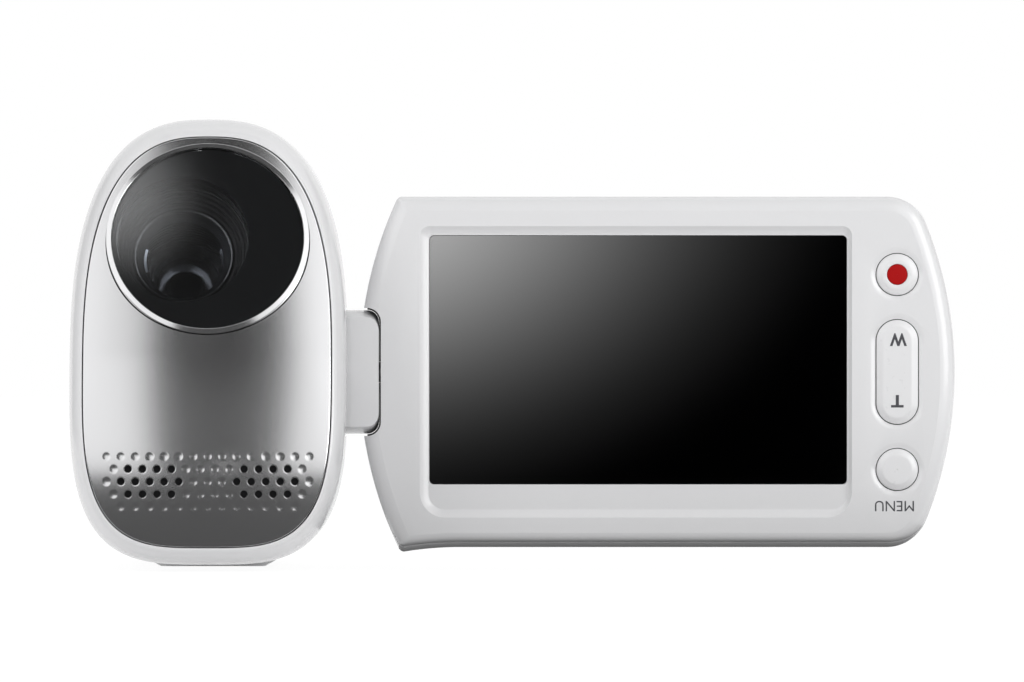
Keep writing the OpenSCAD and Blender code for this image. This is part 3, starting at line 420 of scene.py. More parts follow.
def finish(
        name, base, rough, grain=1500.0, vary=0.02, spread=0.05, bump=0.0, depth=0.02,
        stretch=(1, 1, 1), **sockets):
    """Principled surface whose colour, roughness and relief follow a fine noise."""
    material = bpy.data.materials.new(name)
    material.use_nodes = True
    tree = material.node_tree
    shader = tree.nodes["Principled BSDF"]
    coords = added(tree, "TexCoord", {})
    mapping = added(tree, "Mapping", {"Vector": coords.outputs["Object"], "Scale": stretch})
    noise = added(
        tree, "TexNoise", {"Vector": mapping.outputs["Vector"], "Scale": grain, "Detail": 3})
    level = noise.outputs["Fac"]
    dark, light = ([min(1, c * share) for c in base] for share in (1 - vary, 1 + vary))
    tint = added(
        tree, "Mix", {"Factor": level, "A": (*dark, 1), "B": (*light, 1)}, data_type="RGBA")
    gloss = added(tree, "MapRange", {
        "Value": level, "To Min": max(0.0, rough - spread), "To Max": min(1.0, rough + spread)})
    feed(tree, shader.inputs["Base Color"], tint.outputs["Result"])
    feed(tree, shader.inputs["Roughness"], gloss.outputs["Result"])
    if bump:
        relief = added(tree, "Bump", {"Strength": bump, "Distance": depth * MM, "Height": level})
        feed(tree, shader.inputs["Normal"], relief.outputs["Normal"])
    for socket, value in sockets.items():
        shader.inputs[socket.replace("_", " ")].default_value = value
    return material


# Each finish: name, colour, roughness, grain per metre, variation of colour and of roughness,
# strength of the relief and its depth in millimetres, and stretch of the grain.
white = finish(
    "white_gloss_plastic", (0.78, 0.78, 0.79), 0.2, 2500, 0.01, 0.04, 0.05, 0.01,
    Coat_Weight=0.25, Coat_Roughness=0.06)
satin_white = finish(
    "white_satin_plastic", (0.76, 0.76, 0.77), 0.42, 5000, 0.015, 0.06, 0.15, 0.01)
key_white = finish("white_key_plastic", (0.8, 0.8, 0.81), 0.28, 900, 0.006, 0.02)
brushed = finish(
    "brushed_metal", (0.8, 0.8, 0.81), 0.2, 2600, 0.04, 0.04, 0.08, 0.01, (3, 1, 0.7),
    Metallic=1.0)
polished = finish(
    "polished_ring", (0.82, 0.82, 0.83), 0.12, 2000, 0.03, 0.04, 0.04, 0.01, Metallic=1.0)
steel = finish(
    "turned_steel", (0.62, 0.62, 0.63), 0.3, 1800, 0.06, 0.08, 0.2, 0.02, (1, 1, 6),
    Metallic=1.0)
brass = finish(
    "thread_brass", (0.75, 0.6, 0.32), 0.3, 1800, 0.06, 0.08, 0.2, 0.02, Metallic=1.0)
dull_metal = finish(
    "pressed_metal", (0.5, 0.51, 0.53), 0.42, 1500, 0.06, 0.08, 0.2, 0.02, Metallic=1.0)
# Black for the notch lining only: painted shade in the gap round the hinge block.
black = finish("black_moulding", (0.012, 0.012, 0.013), 0.4, 3000, 0.15, 0.08, 0.2, 0.015)
lens_black = finish("lens_black", (0.022, 0.022, 0.023), 0.24, 90, 0.1, 0.015)
print_black = finish("printed_mask", (0.006, 0.006, 0.007), 0.3, 90, 0.1, 0.015)
dark_plastic = finish("dark_plastic", (0.05, 0.052, 0.055), 0.45, 2500, 0.12, 0.08, 0.2, 0.02)
silver_key = finish(
    "silver_key", (0.6, 0.6, 0.61), 0.3, 2200, 0.04, 0.06, 0.12, 0.015, Metallic=0.85)
board_green = finish("circuit_board", (0.02, 0.13, 0.06), 0.4, 700, 0.35, 0.1, 0.3, 0.02)
foam = finish("microphone_cloth", (0.008, 0.008, 0.009), 0.9, 3500, 0.4, 0.08, 0.8, 0.06)
red = finish("red_dot", (0.4, 0.0015, 0.002), 0.45, 900, 0.04, 0.03, Specular_IOR_Level=0.15)
mark_grey = finish("print_grey", (0.07, 0.07, 0.08), 0.45, 4000, 0.1, 0.06, 0.1, 0.005)
lamp_green = finish("light_green", (0.05, 0.45, 0.12), 0.25, 1500, 0.1, 0.05, 0.05, 0.01)
display = finish(
    "display_glass", (0.0003, 0.0003, 0.0004), 0.02, 400, 0.2, 0.003,
    IOR=1.9, Coat_Weight=0.6, Coat_Roughness=0.02)
window_glass = finish(
    "window_glass", (0.9, 0.92, 0.94), 0.01, 120, 0.01, 0.002,
    IOR=1.8, Transmission_Weight=1.0)
element_glass = finish(
    "element_glass", (0.88, 0.9, 0.94), 0.01, 120, 0.02, 0.002,
    IOR=1.16, Transmission_Weight=1.0)
coated_metal = finish(
    "dark_anodised", (0.16, 0.16, 0.165), 0.2, 1800, 0.06, 0.05, Metallic=1.0)


# ---------- front ----------


def ring_at(t, share, depth, inset=0.0):
    """Ring of the front shell, at a share of the way from the plate's edge to the outline."""
    px, pz = egg(t, plate_half_w, plate_up, plate_down)
    ox, oz = egg(t, half_w - inset, crown_b - inset, belly_b - inset)
    x, z = px + (ox - px) * share, waist_z + pz + (oz - pz) * share
    return x, face_y(x, z) + depth, z


def rows(x, y, z):
    """A ring of points from its coordinates; y may be the same for all."""
    return np.c_[x, np.broadcast_to(y, x.shape), z]


def front_shell():
    """Rim round the plate: a rounded face, straight sides up to the curved seam, and a lining."""
    t = even_angles(420)
    drop, roll = 0.1, 0.18
    rim = [(0, 3), (0, 0.4), (0.006, 0.22), (0.03, 0.13), (0.06, 0.115)]
    for a in np.radians(np.linspace(6, 90, 22)):
        rim.append((math.sin(a), drop + rim_depth * (1 - math.cos(a))))
    rings = [rows(*ring_at(t, share, depth)) for share, depth in rim]
    x, y, z = ring_at(t, 1, rim_depth + drop)
    end = seam_y(z) - curved_seam
    for v in np.linspace(0, 1, 8)[1:]:
        rings.append(rows(x, y + (end - roll - y) * v, z))
    for a in map(math.radians, (30, 60, 90)):
        sx, sz = egg(t, *(s - roll * (1 - math.cos(a)) for s in (half_w, crown_b, belly_b)))
        rings.append(rows(sx, end - roll + roll * math.sin(a), waist_z + sz))
    ix, iz = egg(t, half_w - wall, crown_b - wall, belly_b - wall)
    rings.append(rows(ix, end, waist_z + iz))
    rings.append(rows(*ring_at(t, 1, rim_depth + wall, wall)))
    shell = solid(*strip(rings, closed_along=True))
    notch_y = swing_y - panel_t / 2 - face_gap
    ear = block_h / 2 + face_gap
    carve(shell, block((bay_x, 60), (notch_y, notch_y + 27), (twist_z - ear, twist_z + ear)))
    keep(shell, "front_shell_skin", ROOT, white, "front_shell", slot="white_shell")


# Rows of dimples from the lowest up: how many, and which of them are drilled through.
mic_rows = (
    (13, ()),
    (14, (1, 2, 3, 4, 9, 10, 11, 12)),
    (15, (1, 2, 3, 4, 5, 9, 10, 11, 12, 13)),
    (14, (1, 2, 3, 4, 9, 10, 11, 12)),
    (15, ()),
)
mic_x = 0.2


def mic_cells():
    """Middle of each dimple, and whether it is a hole."""
    for row, (count, holes) in enumerate(mic_rows):
        z = mic_z + (row - len(mic_rows) // 2) * mic_row
        for cell in range(count):
            yield mic_x + (cell - (count - 1) / 2) * mic_pitch, z, cell in holes


def front_plate():
    """Metal plate with rolled edges, pressed dimples, and holes at the bottom of some of them."""
    edge_gap, roll, land = 0.12, 0.2, 0.05
    ball, rim = 3.0, 0.6    # radius of the ball that presses a dimple, and of the dimple's rim
    t = even_angles(1000)
    ex, ez = egg(t, plate_half_w - edge_gap, plate_up - edge_gap, plate_down - edge_gap)
    reach = np.hypot(ex, ez)
    rings = []

    def ring(share, drop):
        x, z = ex * share, waist_z + ez * share
        rings.append(rows(x, face_y(x, z) + drop, z))

    for share in (0.0004, 0.2, 0.4, 0.6, 0.8, 0.95):
        ring(share, plate_t)
    edge = [(0, plate_t - 0.05), (0, 0.3), (0.01, 0.16), (0.045, 0.08), (0.1, 0.025)]
    for distance, drop in edge + [(roll, 0), (roll + land, 0)]:
        ring(1 - distance / reach, drop)
    for share in np.linspace(1, 0.0004, 200)[1:]:
        s = share * (1 - (roll + land) / reach)
        x, z = ex * s, waist_z + ez * s
        y = face_y(x, z)
        if share > 0.25:    # nearer the middle there are none
            for cx, cz, _ in mic_cells():
                d = np.hypot(x - cx, z - cz)
                sunk = np.sqrt(np.maximum(ball**2 - d**2, 0)) - math.sqrt(ball**2 - rim**2)
                y = y + np.where(d < rim, sunk, 0)
        rings.append(rows(x, y, z))
    plate = solid(*strip(rings))
    bore_r = ring_r + 0.12
    tools = [turned([(0, -9), (bore_r, -9), (bore_r, 9), (0, 9)], at_lens())]
    for x, z, hole in mic_cells():
        if hole:
            at = upright(x, float(face_y(x, z)), z)
            tools.append(prism(arc(0, 0, mic_hole_r, 0, 350, 35), -3, 3, at))
    carve(plate, solid(*join(tools)), crease=35)
    keep(plate, "front_plate_skin", ROOT, brushed, "front_plate", slot="brushed_plate")


def join(objects):
    """Points and faces of several tools as one, in millimetres; the tools are deleted."""
    points, faces = [], []
    for obj in objects:
        base = len(points)
        points += [tuple(v.co / MM) for v in obj.data.vertices]
        faces += [tuple(base + i for i in p.vertices) for p in obj.data.polygons]
        bpy.data.objects.remove(obj)
    return points, faces


def lens():
    """Ring, window and everything that shows in the cone behind it, from the front to the rear."""
    axis = at_lens(optic_x)
    outer, inner = ring_r, window_r
    ring = turned(
        [(inner + 0.04, -2), (inner + 0.04, 0.34), (inner + 0.05, 0.41), (inner + 0.08, 0.43),
         (outer - 0.07, 0.26), (outer - 0.02, 0.22), (outer, 0.15), (outer, -ring_depth),
         (inner - 0.9, -ring_depth), (inner - 0.9, -2)],
        at_lens(), 256, crease=14)
    keep(ring, "lens_ring_band", ROOT, polished, "lens_ring", slot="polished_ring")
    glass = turned(
        [(0, -0.85), (inner - 0.1, -0.85), (inner, -0.75), (inner, 0.31), (inner - 0.04, 0.35),
         (0, 0.35)],
        at_lens(), 256)
    keep(glass, "lens_window_glass", ROOT, window_glass, "lens_window", slot="window_glass")

    cone = [(9.5, -ring_depth - 0.1), (9.5, -4.8), (9.42, -4.92), (9.3, -4.95)]
    for k in range(4):    # wide steps of the shade
        r, h = 9.3 - 0.5 * k, -5.1 - 0.72 * k
        cone += [(r, h), (r, h - 0.4), (r - 0.06, h - 0.46), (r - 0.4, h - 0.5),
                 (r - 0.46, h - 0.56)]
    cone += [(7.25, -8.0), (7.2, -8.1), (7.2, -9.6), (5.72, -9.62), (5.62, -9.7), (5.62, -9.9),
             (5.75, -10.02), (6.28, -10.05)]
    for k in range(9):    # ribs of the bore
        h = -10.1 - 1.1 * k
        cone += [(6.28, h), (6.28, h - 0.5), (6.36, h - 0.6), (6.6, h - 0.62), (6.6, h - 1.0),
                 (6.36, h - 1.02)]
    cone += [(6.3, -21), (6.3, -35), (9.35, -35), (9.35, -14), (10.2, -13), (10.2, -3.5),
             (10.8, -3.5), (10.8, -2.7)]
    barrel = turned(cone, axis, 192, crease=25)
    keep(barrel, "lens_cone", ROOT, lens_black, "lens_barrel", slot="lens_body")

    glass_r = 7.15
    retainer = turned(
        [(glass_r, -7.9), (7.12, -7.75), (7.0, -7.68), (6.82, -7.72), (6.72, -7.85),
         (6.72, -8.25), (glass_r, -8.4)],
        axis, 192)
    keep(retainer, "front_glass_retainer", ROOT, coated_metal, slot="lens_body")
    wedge = [(5.24, -9.98), (5.24, -9.93), (5.6, -9.76), (5.6, -9.98)]
    springs = ((-1, "barrel_spring_right", dull_metal), (1, "barrel_spring_left", coated_metal))
    for side, name, metal in springs:
        rings = []
        for k in np.radians(np.linspace(-18, 18, 25)):
            rings.append([(side * r * math.cos(k), r * math.sin(k), h) for r, h in wedge])
        points, faces = strip(rings)
        keep(solid(moved(points, axis), faces), name, ROOT, metal, slot="lens_body")
    hood = turned(
        [(4.4, -20.25), (4.4, -18.2), (4.32, -18.02), (4.15, -17.95), (3.6, -17.95),
         (3.46, -18.05), (3.4, -18.3), (3.4, -19.5), (3.3, -19.6), (2.5, -19.7), (2.34, -19.8),
         (2.3, -19.95), (2.4, -20.15), (3.9, -20.25)],
        axis, 128)
    keep(hood, "zoom_hood", nodes["zoom_group"]["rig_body"], coated_metal, slot="lens_body")
    crown = [(glass_r * k / 16, -7 - 1.5 * (k / 16) ** 2) for k in range(17)]
    crown.append((glass_r, -9.3))
    crown += [(glass_r * k / 16, -9.55 + 0.25 * (k / 16) ** 2) for k in range(15, -1, -1)]
    element = turned(crown, axis, 128)
    keep(element, "front_lens", ROOT, element_glass, "front_element", slot="lens_glass")


# ---------- shells of the main body ----------

# The run along the outline for each angle, to space the points of a patch evenly.
table_t = np.linspace(-0.6, 2 * math.pi + 0.6, 40001)
table_x, table_z = egg(table_t, half_w, crown_b, belly_b)
table_s = np.concatenate([[0], np.cumsum(np.hypot(np.diff(table_x), np.diff(table_z)))])


def stations(length, spacing, roll):
    """Shares along a length, close together at its ends, where the edge is rolled."""
    ends = np.array([0, 0.15, 0.4, 0.7, 1]) * roll / length
    middle = np.linspace(ends[-1], 1 - ends[-1], max(3, int(length / spacing)))
    return np.concatenate([ends[:-1], middle, 1 - ends[:-1][::-1]])


def patch(t_range, y_range, size):
    """Closed skin over part of the body, as thick as the wall, with rolled edges.

    t_range gives the end angles at stations y, and y_range the end stations at heights z.
    """
    roll, spacing = 0.2, 0.7
    u, v = stations(size[0], spacing, roll), stations(size[1], 2 * spacing, roll)
    share_u, share_v = np.meshgrid(u, v)
    y0, y1 = y_range(waist_z)
    y = y0 + (y1 - y0) * share_v
    for _ in range(10):    # each range depends on the other, so both settle together
        t0, t1 = t_range(y)
        s0, s1 = np.interp(t0, table_t, table_s), np.interp(t1, table_t, table_s)
        t = np.interp(s0 + (s1 - s0) * share_u, table_s, table_t)
        y0, y1 = y_range(section(t, y)[1])
        y = y0 + (y1 - y0) * share_v
    edge = np.minimum(
        np.minimum(share_u, 1 - share_u) * (s1 - s0), np.minimum(share_v, 1 - share_v) * (y1 - y0))
    sink = roll - np.sqrt(np.maximum(roll**2 - np.maximum(roll - edge, 0) ** 2, 0))

    def skin(inset):
        x, z = section(t, y, inset)
        return np.stack(np.broadcast_arrays(x, y, z), -1).reshape(-1, 3)

    m, n = share_u.shape
    points = np.concatenate([skin(sink), skin(wall)])
    faces = []
    for j in range(m - 1):
        for i in range(n - 1):
            a = j * n + i
            b = m * n + a
            faces += [(a, a + 1, a + n + 1, a + n), (b, b + n, b + n + 1, b + 1)]
    border = list(range(n)) + [j * n + n - 1 for j in range(1, m)]
    border += [(m - 1) * n + i for i in range(n - 2, -1, -1)] + [j * n for j in range(m - 2, 0, -1)]
    for a, b in zip(border, border[1:] + border[:1]):
        faces.append((a, b, m * n + b, m * n + a))
    return solid(points, faces)


def angle_at_x(x, y):
    """Angle under the belly where the skin passes x."""
    c = np.arccos(np.clip(np.abs(x) / reach_at(y)[0], 0, 1) ** (round_down / 2))
    return np.where(x < 0, math.pi + c, 2 * math.pi - c)


def angle_over_bay(y):
    """Angle where the skin passes the top of the screen's bay."""
    return np.arcsin(((bay_top_z - waist_z) / reach_at(y)[1]) ** (round_up / 2))


def crown_at(y):
    """Height of the top at a station y."""
    return float(section(math.pi / 2, y)[1])


def main_shells():
    """Top and right shells. Their openings are cut by tools that reach well past the skin."""

    def seams(z):
        return seam_y(z) + curved_seam, rear_seam_y - rear_seam

    def top_range(y):
        return angle_over_bay(y) + top_seam_turn, np.full_like(y, top_seam) - top_seam_turn

    def side_range(y):
        return np.full_like(y, top_seam) + top_seam_turn, angle_at_x(bay_x - 0.02, y)

    top = patch(top_range, seams, (40, 62))
    lever_z = crown_at(lever_y) - 2
    photo_z = crown_at(photo_y)
    lever_at, photo_at = (place(control_x, y, 0) for y in (lever_y, photo_y))
    carve(
        top,
        post(lever_r + gap, lever_z, lever_z + 9, lever_at),
        post(photo_r + gap, photo_z - 8, photo_z + 9, photo_at),
    )
    keep(top, "top_shell_skin", ROOT, white, "top_shell", slot="white_shell")
    low, high, seat_r = lever_z - 1.2, lever_z - 0.05, lever_r + 0.6
    floor = turned([(0, low), (seat_r, low), (seat_r, high), (0, high)], lever_at)
    keep(floor, "zoom_lever_seat", ROOT, satin_white, slot="white_shell")

    side = patch(side_range, seams, (75, 66))
    foot_l = foot_y1 - foot_y0
    carve(
        side,
        block((door_x[0] - gap, door_x[1] + gap), (door_y[0] - gap, door_y[1] + gap), (-1, 4.4)),
        prism(rounded(foot_w + 0.1, foot_l + 0.1, 2), -1, 4, place(0, (foot_y0 + foot_y1) / 2, 0)),
        block((-40, -12), (flap_y[0] - 0.8 - gap, flap_y[1] + gap),
              (flap_z[0] - gap, flap_z[1] + gap)),
    )
    keep(side, "right_shell_skin", ROOT, white, "right_shell", slot="white_shell")


def rear_cover():
    """Domed cover with the holes of its controls, and the light guides that follow its skin.

    The bay is cut a hair below the left panel's face, so that no two faces share a plane.
    """
    t = even_angles(420)
    roll, start, proud = 0.2, rear_seam_y + rear_seam, 0.07
    first = float(dome(start + 0.25))
    shares = np.concatenate([np.linspace(first, 0.9, 8), np.linspace(0.88, 0.005, 36)])

    def cup(shares, inset):
        out = []
        for r in shares:
            y = dome_y + (rear_y - dome_y) * math.sqrt(max(0.0, 1 - r**4)) - inset
            sizes = (rear_half_w, rear_crown_z - waist_z, belly_b)
            x, z = egg(t, *(s * r - inset * r for s in sizes))
            out.append(rows(x, y, waist_z + z))
        return out

    def inside(inset):
        x, z = section(t, start, inset)
        return cup(shares[::-1][:-3], inset) + [rows(x, start, z)]

    def at_back(x, z):
        return upright(rear_control_x + x, rear_y, z)

    lip = []
    for a in map(math.radians, (0, 30, 60, 90)):
        y = start + roll * (1 - math.cos(a))
        x, z = section(t, y, roll * (1 - math.sin(a)))
        lip.append(rows(x, y, z))
    shell = solid(*strip(inside(wall) + lip + cup(shares, 0)))
    carve(
        shell,
        block((bay_x - 0.05, 60), (-60, 90), (-5, bay_top_z)),
        post(record_r + gap, -12, 8, at_back(0, record_z)),
        post(mode_r + gap, -14, 8, at_back(0, mode_z)),
        *(post(light_r, -12, 8, at_back(dx, light_z)) for dx in (-light_dx, light_dx)),
    )
    keep(shell, "rear_cover_skin", ROOT, white, "rear_cover", slot="white_shell")
    root_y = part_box("status_lights")[0][1] / MM - rear_y
    guides = solid(*join([
        post(light_r - 0.03, root_y, 8, at_back(dx, light_z)) for dx in (-light_dx, light_dx)]))
    carve(guides, solid(*strip(inside(-proud))), operation="INTERSECT", crease=40)
    keep(guides, "status_light_lenses", ROOT, lamp_green, "status_lights", slot="light_guides")


# ---------- screen ----------


def panel_rings(profile):
    """Rings of the housing: depth, inset, and how far the lower edge is lifted above that inset."""
    lift_run = 5
    rings = []
    for d, i, *lift in profile:
        rise = lift[0] if lift else 0.0
        ring = []
        for u, h in panel_outline(i, 6):
            low = min(1.0, max(0.0, (-h - panel_h / 2 + i + lift_run) / lift_run))
            ring.append((swing_x + u, swing_y + d, twist_z + h + rise * low**2))
        rings.append(ring)
    return rings


def notch_size(clear):
    """Corner radius, reach and half height of the hinge block, with a clearance round it."""
    return 1.7 + clear, block_reach + clear, block_h / 2 + clear


def notch():
    """Tool that leaves room for the hinge block in the housing."""
    r, reach, h = notch_size(notch_gap)
    corners = arc(reach - r, r - h, r, 270, 360, 10) + arc(reach - r, h - r, r, 0, 90, 10)
    outline = [(-5, -h), (reach - r, -h)] + corners + [(-5, h)]
    return prism(outline, -panel_t, panel_t, upright(swing_x, swing_y, twist_z))


def frame_ring(x0, z0, x1, z1, low_r, high_r):
    """Points of a rectangle whose lower and upper corners have their own radii."""
    return (
        arc(x1 - high_r, z1 - high_r, high_r, 0, 90, 8)
        + arc(x0 + high_r, z1 - high_r, high_r, 90, 180, 8)
        + arc(x0 + low_r, z0 + low_r, low_r, 180, 270, 12)
        + arc(x1 - low_r, z0 + low_r, low_r, 270, 360, 12)
    )


def recess():
    """Shallow surround of the display: slopes at the sides and top, and a deeper shelf below."""
    x0, x1 = screen_x - screen_w / 2 - 0.1, screen_x + screen_w / 2 + 0.1
    z0, z1 = screen_dz - screen_h / 2 - 3.6, screen_dz + screen_h / 2 + 0.1
    rings = []
    for share in (1.3, 1, 0.85, 0.7, 0.5, 0.3, 0.15, 0.04, 0):
        depth = recess_d * (1 - share**1.3) if share < 1 else 1 - share
        ring = frame_ring(
            x0 - 1.3 * share, z0 - 1.2 * share, x1 + 0.65 * share, z1 + 1.25 * share,
            2.2 + 1.4 * share, 0.5 + 0.9 * share)
        rings.append([(swing_x + u, swing_y + face_d + depth, twist_z + h) for u, h in ring])
    return solid(*strip(rings))


def dish(r):
    """Soft hollow round a button, from its cap out to the face."""
    run, deep, lift = 0.85, 0.3, 0.1
    curve = [(r + run + 0.02, -0.2), (r + run, 0)]
    for k in np.linspace(0.12, 1, 9):
        depth = deep * (1 - math.cos(math.pi * k * 0.5)) + lift * k * (1 - k)
        curve.append((r + run * (1 - k), depth))
    return curve


def ring_of(outline_at, curve, at):
    """Skin through an outline function of r at the radii and heights of a curve."""
    rings = [[(x, y, h) for x, y in outline_at(r)] for r, h in curve]
    points, faces = strip(rings)
    return solid(moved(points, at), faces)


def round_at(r):
    """Outline of a round key, for ring_of."""
    return arc(0, 0, r, 0, 357, 119)


def long_at(r):
    """Outline of the rocker, for ring_of."""
    return stadium(r, rocker_l + 2 * (r - key_r), 32)


def bezel():
    """Front half of the screen housing: a rolled edge, the display's surround and three keys."""
    edge_w, edge_d, edge_run, edge_lift = 2.12, 1.5, 2.0, 0.7
    angles = np.radians(np.linspace(14, 90, 16))
    lean, full = math.cos(angles[0]), 1 - math.sin(angles[0])
    rings = [(face_d, edge_w, 0)]
    for a in angles[1:]:
        done = (math.sin(a) - math.sin(angles[0])) / full
        depth = face_d + edge_d * (lean - math.cos(a)) / lean
        rings.append((depth, edge_w - edge_run * done, edge_lift * done**2))
    rings += [(split_d - 0.06, 0.12, 0.7), (split_d - 0.02, 0.2, 0.75)]
    shell = solid(*strip(panel_rings(rings)), crease=9)
    hole = key_r + 0.1
    window = rounded(screen_w + 0.1, screen_h + 0.1, 0.7)
    tools = [recess(), prism(window, -1, 6, on_face(screen_x, screen_dz))]
    for side in (1, -1):
        at = on_face(key_x, side * key_pitch)
        tools += [post(hole, -1, 9, at), ring_of(round_at, dish(hole), at)]
    at = on_face(key_x, 0)
    tools += [
        prism(stadium(hole, rocker_l + 0.2, 32), -1, 9, at), ring_of(long_at, dish(hole), at),
        notch()]
    carve(shell, *tools, crease=9)
    keep(shell, "screen_bezel_skin", SCREEN, white, "screen_bezel", slot="white_shell")


def back_cover():
    """Rear half of the screen housing: straight sides, then a soft roll to a flat back."""
    rings = [
        (split_d + 0.1, 0.24, 0.7), (split_d + 0.16, 0.1, 0.66), (split_d + 0.3, 0.02, 0.58),
        (-2.35, 0, 0.42), (-1.95, 0, 0.26), (-1.5, 0, 0.13), (-1, 0, 0.04), (-0.5, 0, 0),
        (0.3, 0)]
    roll = np.array([
        (0.5, 0), (1.4, 0.35), (2.2, 1.4), (2.9, 3.2), (3.5, 5.8), (4, 9), (4.3, 12.5),
        (back_d, 17)])
    run = np.concatenate([[0], np.cumsum(np.hypot(*np.diff(roll, axis=0).T))])
    fine = np.linspace(0, run[-1], 90)
    smooth = np.c_[np.interp(fine, run, roll[:, 0]), np.interp(fine, run, roll[:, 1])]
    for _ in range(60):
        smooth[1:-1] = (smooth[:-2] + smooth[2:]) / 2
    picked = [*range(0, 30, 2), *range(30, 90, 4), 89]
    rings += [tuple(smooth[k]) for k in picked]
    inner = [
        (split_d + 0.1, panel_wall + 0.1), (0.6, panel_wall), (1.2, panel_wall + 0.8),
        (2, panel_wall + 2.8), (2.7, panel_wall + 6), (3.3, panel_wall + 11)]
    shell = solid(*strip(panel_rings(rings)[::-1] + panel_rings(inner)), crease=20)
    carve(shell, notch(), crease=20)
    keep(shell, "screen_cover_skin", SCREEN, white, "screen_cover", slot="white_shell")


def hinge_gap_shade():
    """Dark lining of the notch, behind the gap round the hinge block, open at the shaft: painted
    shade, a black sheet that makes the gap read as a dark line.
    """
    inner, outer = 0.06, notch_gap + 0.01

    def path(clear):
        r, reach, h = notch_size(clear)
        return arc(reach - r, h - r, r, 88, 0, 16) + [(reach, shaft_r + 0.02)]

    for side, name in ((1, "screen_hinge_gap_shade_top"), (-1, "screen_hinge_gap_shade_bottom")):
        outline = [(x, side * y) for x, y in path(outer) + path(inner)[::-1]]
        lining = prism(outline, -3.7, 1.6, upright(swing_x, swing_y, twist_z))
        keep(lining, name, SCREEN, black, slot="white_shell")


def caps():
    """Button caps beside the display: two dished rounds and a rocker with a raised flat top."""
    r, low = key_r - 0.02, 2.1
    menu_at, record_at = (on_face(key_x, side * key_pitch) for side in (-1, 1))
    shoulder = [
        (1.9, -0.4), (2.1, -0.385), (2.26, -0.33), (2.7, -0.1), (2.86, -0.03), (2.95, 0.06),
        (r, 0.14), (r, low)]
    menu = turned(
        [(0.05, -0.36), (1.2, -0.38)] + shoulder + [(0.05, low)], menu_at, 128, crease=25)
    keep(menu, "screen_menu_cap", "screen_menu_body", key_white, "screen_menu_button",
         slot="white_shell")
    record = turned(
        [(1.5, -0.3), (1.53, -0.36), (1.62, -0.39)] + shoulder + [(1.5, low)], record_at, 128,
        crease=25)
    keep(record, "screen_record_cap", "screen_record_body", key_white, "screen_record_button",
         slot="white_shell")
    dot = turned(
        [(0.02, -0.39), (1.1, -0.39), (1.36, -0.36), (1.46, -0.28), (1.46, 0.8), (0.02, 0.8)],
        record_at, 96)
    keep(dot, "screen_record_dot_cap", "screen_record_body", red, "screen_record_dot",
         slot="red_dot")
    bar = [(r, 1.75), (r, 0.1)]
    bar += [(r - inset, h) for inset, h in (
        (0.05, 0.0), (0.16, -0.06), (0.72, -0.33), (0.84, -0.39), (1.0, -0.42), (1.2, -0.42))]
    rocker = ring_of(long_at, bar, on_face(key_x, 0))
    soften(rocker, 20)
    keep(rocker, "screen_zoom_cap", "screen_zoom_body", key_white, "screen_zoom_rocker",
         slot="white_shell")


def letters(text, height, spread, at, name, body, weight):
    """Printed letters, turned over as the housing is, and laid just proud of the surface."""
    curve = bpy.data.curves.new(name, "FONT")
    curve.body = text
    curve.size = 1
    curve.align_x = "CENTER"
    curve.align_y = "CENTER"
    curve.extrude = 0.01
    curve.offset = weight
    curve.resolution_u = 4
    obj = linked(name, curve)
    bpy.context.view_layer.update()
    mesh = baked(obj)
    bpy.data.objects.remove(obj)
    co = np.array([v.co for v in mesh.vertices])
    low, high = co.min(0), co.max(0)
    co -= (low + high) / 2
    co[:, 0] *= spread / (high[0] - low[0])
    co[:, 1] *= height / (high[1] - low[1])
    mark = solid(moved(co, at), [tuple(p.vertices) for p in mesh.polygons], name)
    keep(mark, name, body, mark_grey, slot="display_module")


def marks():
    """Zoom marks on the rocker's top and the menu's word on the face, upright when it is open."""
    half_turn = Matrix.Rotation(math.pi, 4, "Z")
    top, proud = -0.425, -0.004
    for text, height, spread, u, z, d, name, body, weight in (
        ("W", 1.85, 2.45, key_x + 0.15, 4.65, top, "wide_mark", "screen_zoom_body", 0.035),
        ("T", 1.8, 1.8, key_x, -4.2, top, "tele_mark", "screen_zoom_body", 0.03),
        ("MENU", 1.5, 5.6, key_x - 0.4, -19.25, proud, "menu_mark", SCREEN, 0.0),
    ):
        letters(text, height, spread, on_face(u, z, d) @ half_turn, name, body, weight)


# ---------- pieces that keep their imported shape, with eased edges ----------


def eased(node, surface, width):
    """Copies a node's form with its flat faces merged and its sharp edges rounded."""
    source = nodes[node]
    mesh = source.data.copy()
    form = bmesh.new()
    form.from_mesh(mesh)
    bmesh.ops.remove_doubles(form, verts=form.verts, dist=2e-6)
    nearly_flat = math.radians(0.6)
    bmesh.ops.dissolve_limit(
        form, angle_limit=nearly_flat, verts=form.verts, edges=form.edges)
    form.to_mesh(mesh)
    form.free()
    obj = linked(node + "_eased", mesh)
    round_off = obj.modifiers.new("ease", "BEVEL")
    round_off.width = width * MM
    round_off.segments = 3
    round_off.limit_method = "ANGLE"
    round_off.angle_limit = math.radians(35)
    round_off.harden_normals = False
    settle(obj)
    slot = "silver_keys" if surface is silver_key else "white_shell"
    keep(obj, node + "_form", source["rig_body"], surface, node, slot=slot)


def dress(surface, *names):
    """Gives nodes that show as packed a finish."""
    for name in names:
        slots = nodes[name].data.materials
        slots.clear()
        slots.append(surface)


front_shell()
front_plate()
lens()
main_shells()
rear_cover()
bezel()
back_cover()
hinge_gap_shade()
caps()
marks()

keys = ("photo_button", "mode_button", "power_button", "display_button", "auto_button")
for node, surface, width in (
    ("hinge_block", white, 0.3),
    ("hinge_block_cover", white, 0.12),
    ("base_plate", satin_white, 0.2),
    ("zoom_lever", silver_key, 0.25),
    *((key, silver_key, 0.2) for key in keys),
    ("left_panel", satin_white, 0.12),
    ("battery_door", white, 0.12),
    ("jack_cover", white, 0.12),
):
    eased(node, surface, width)

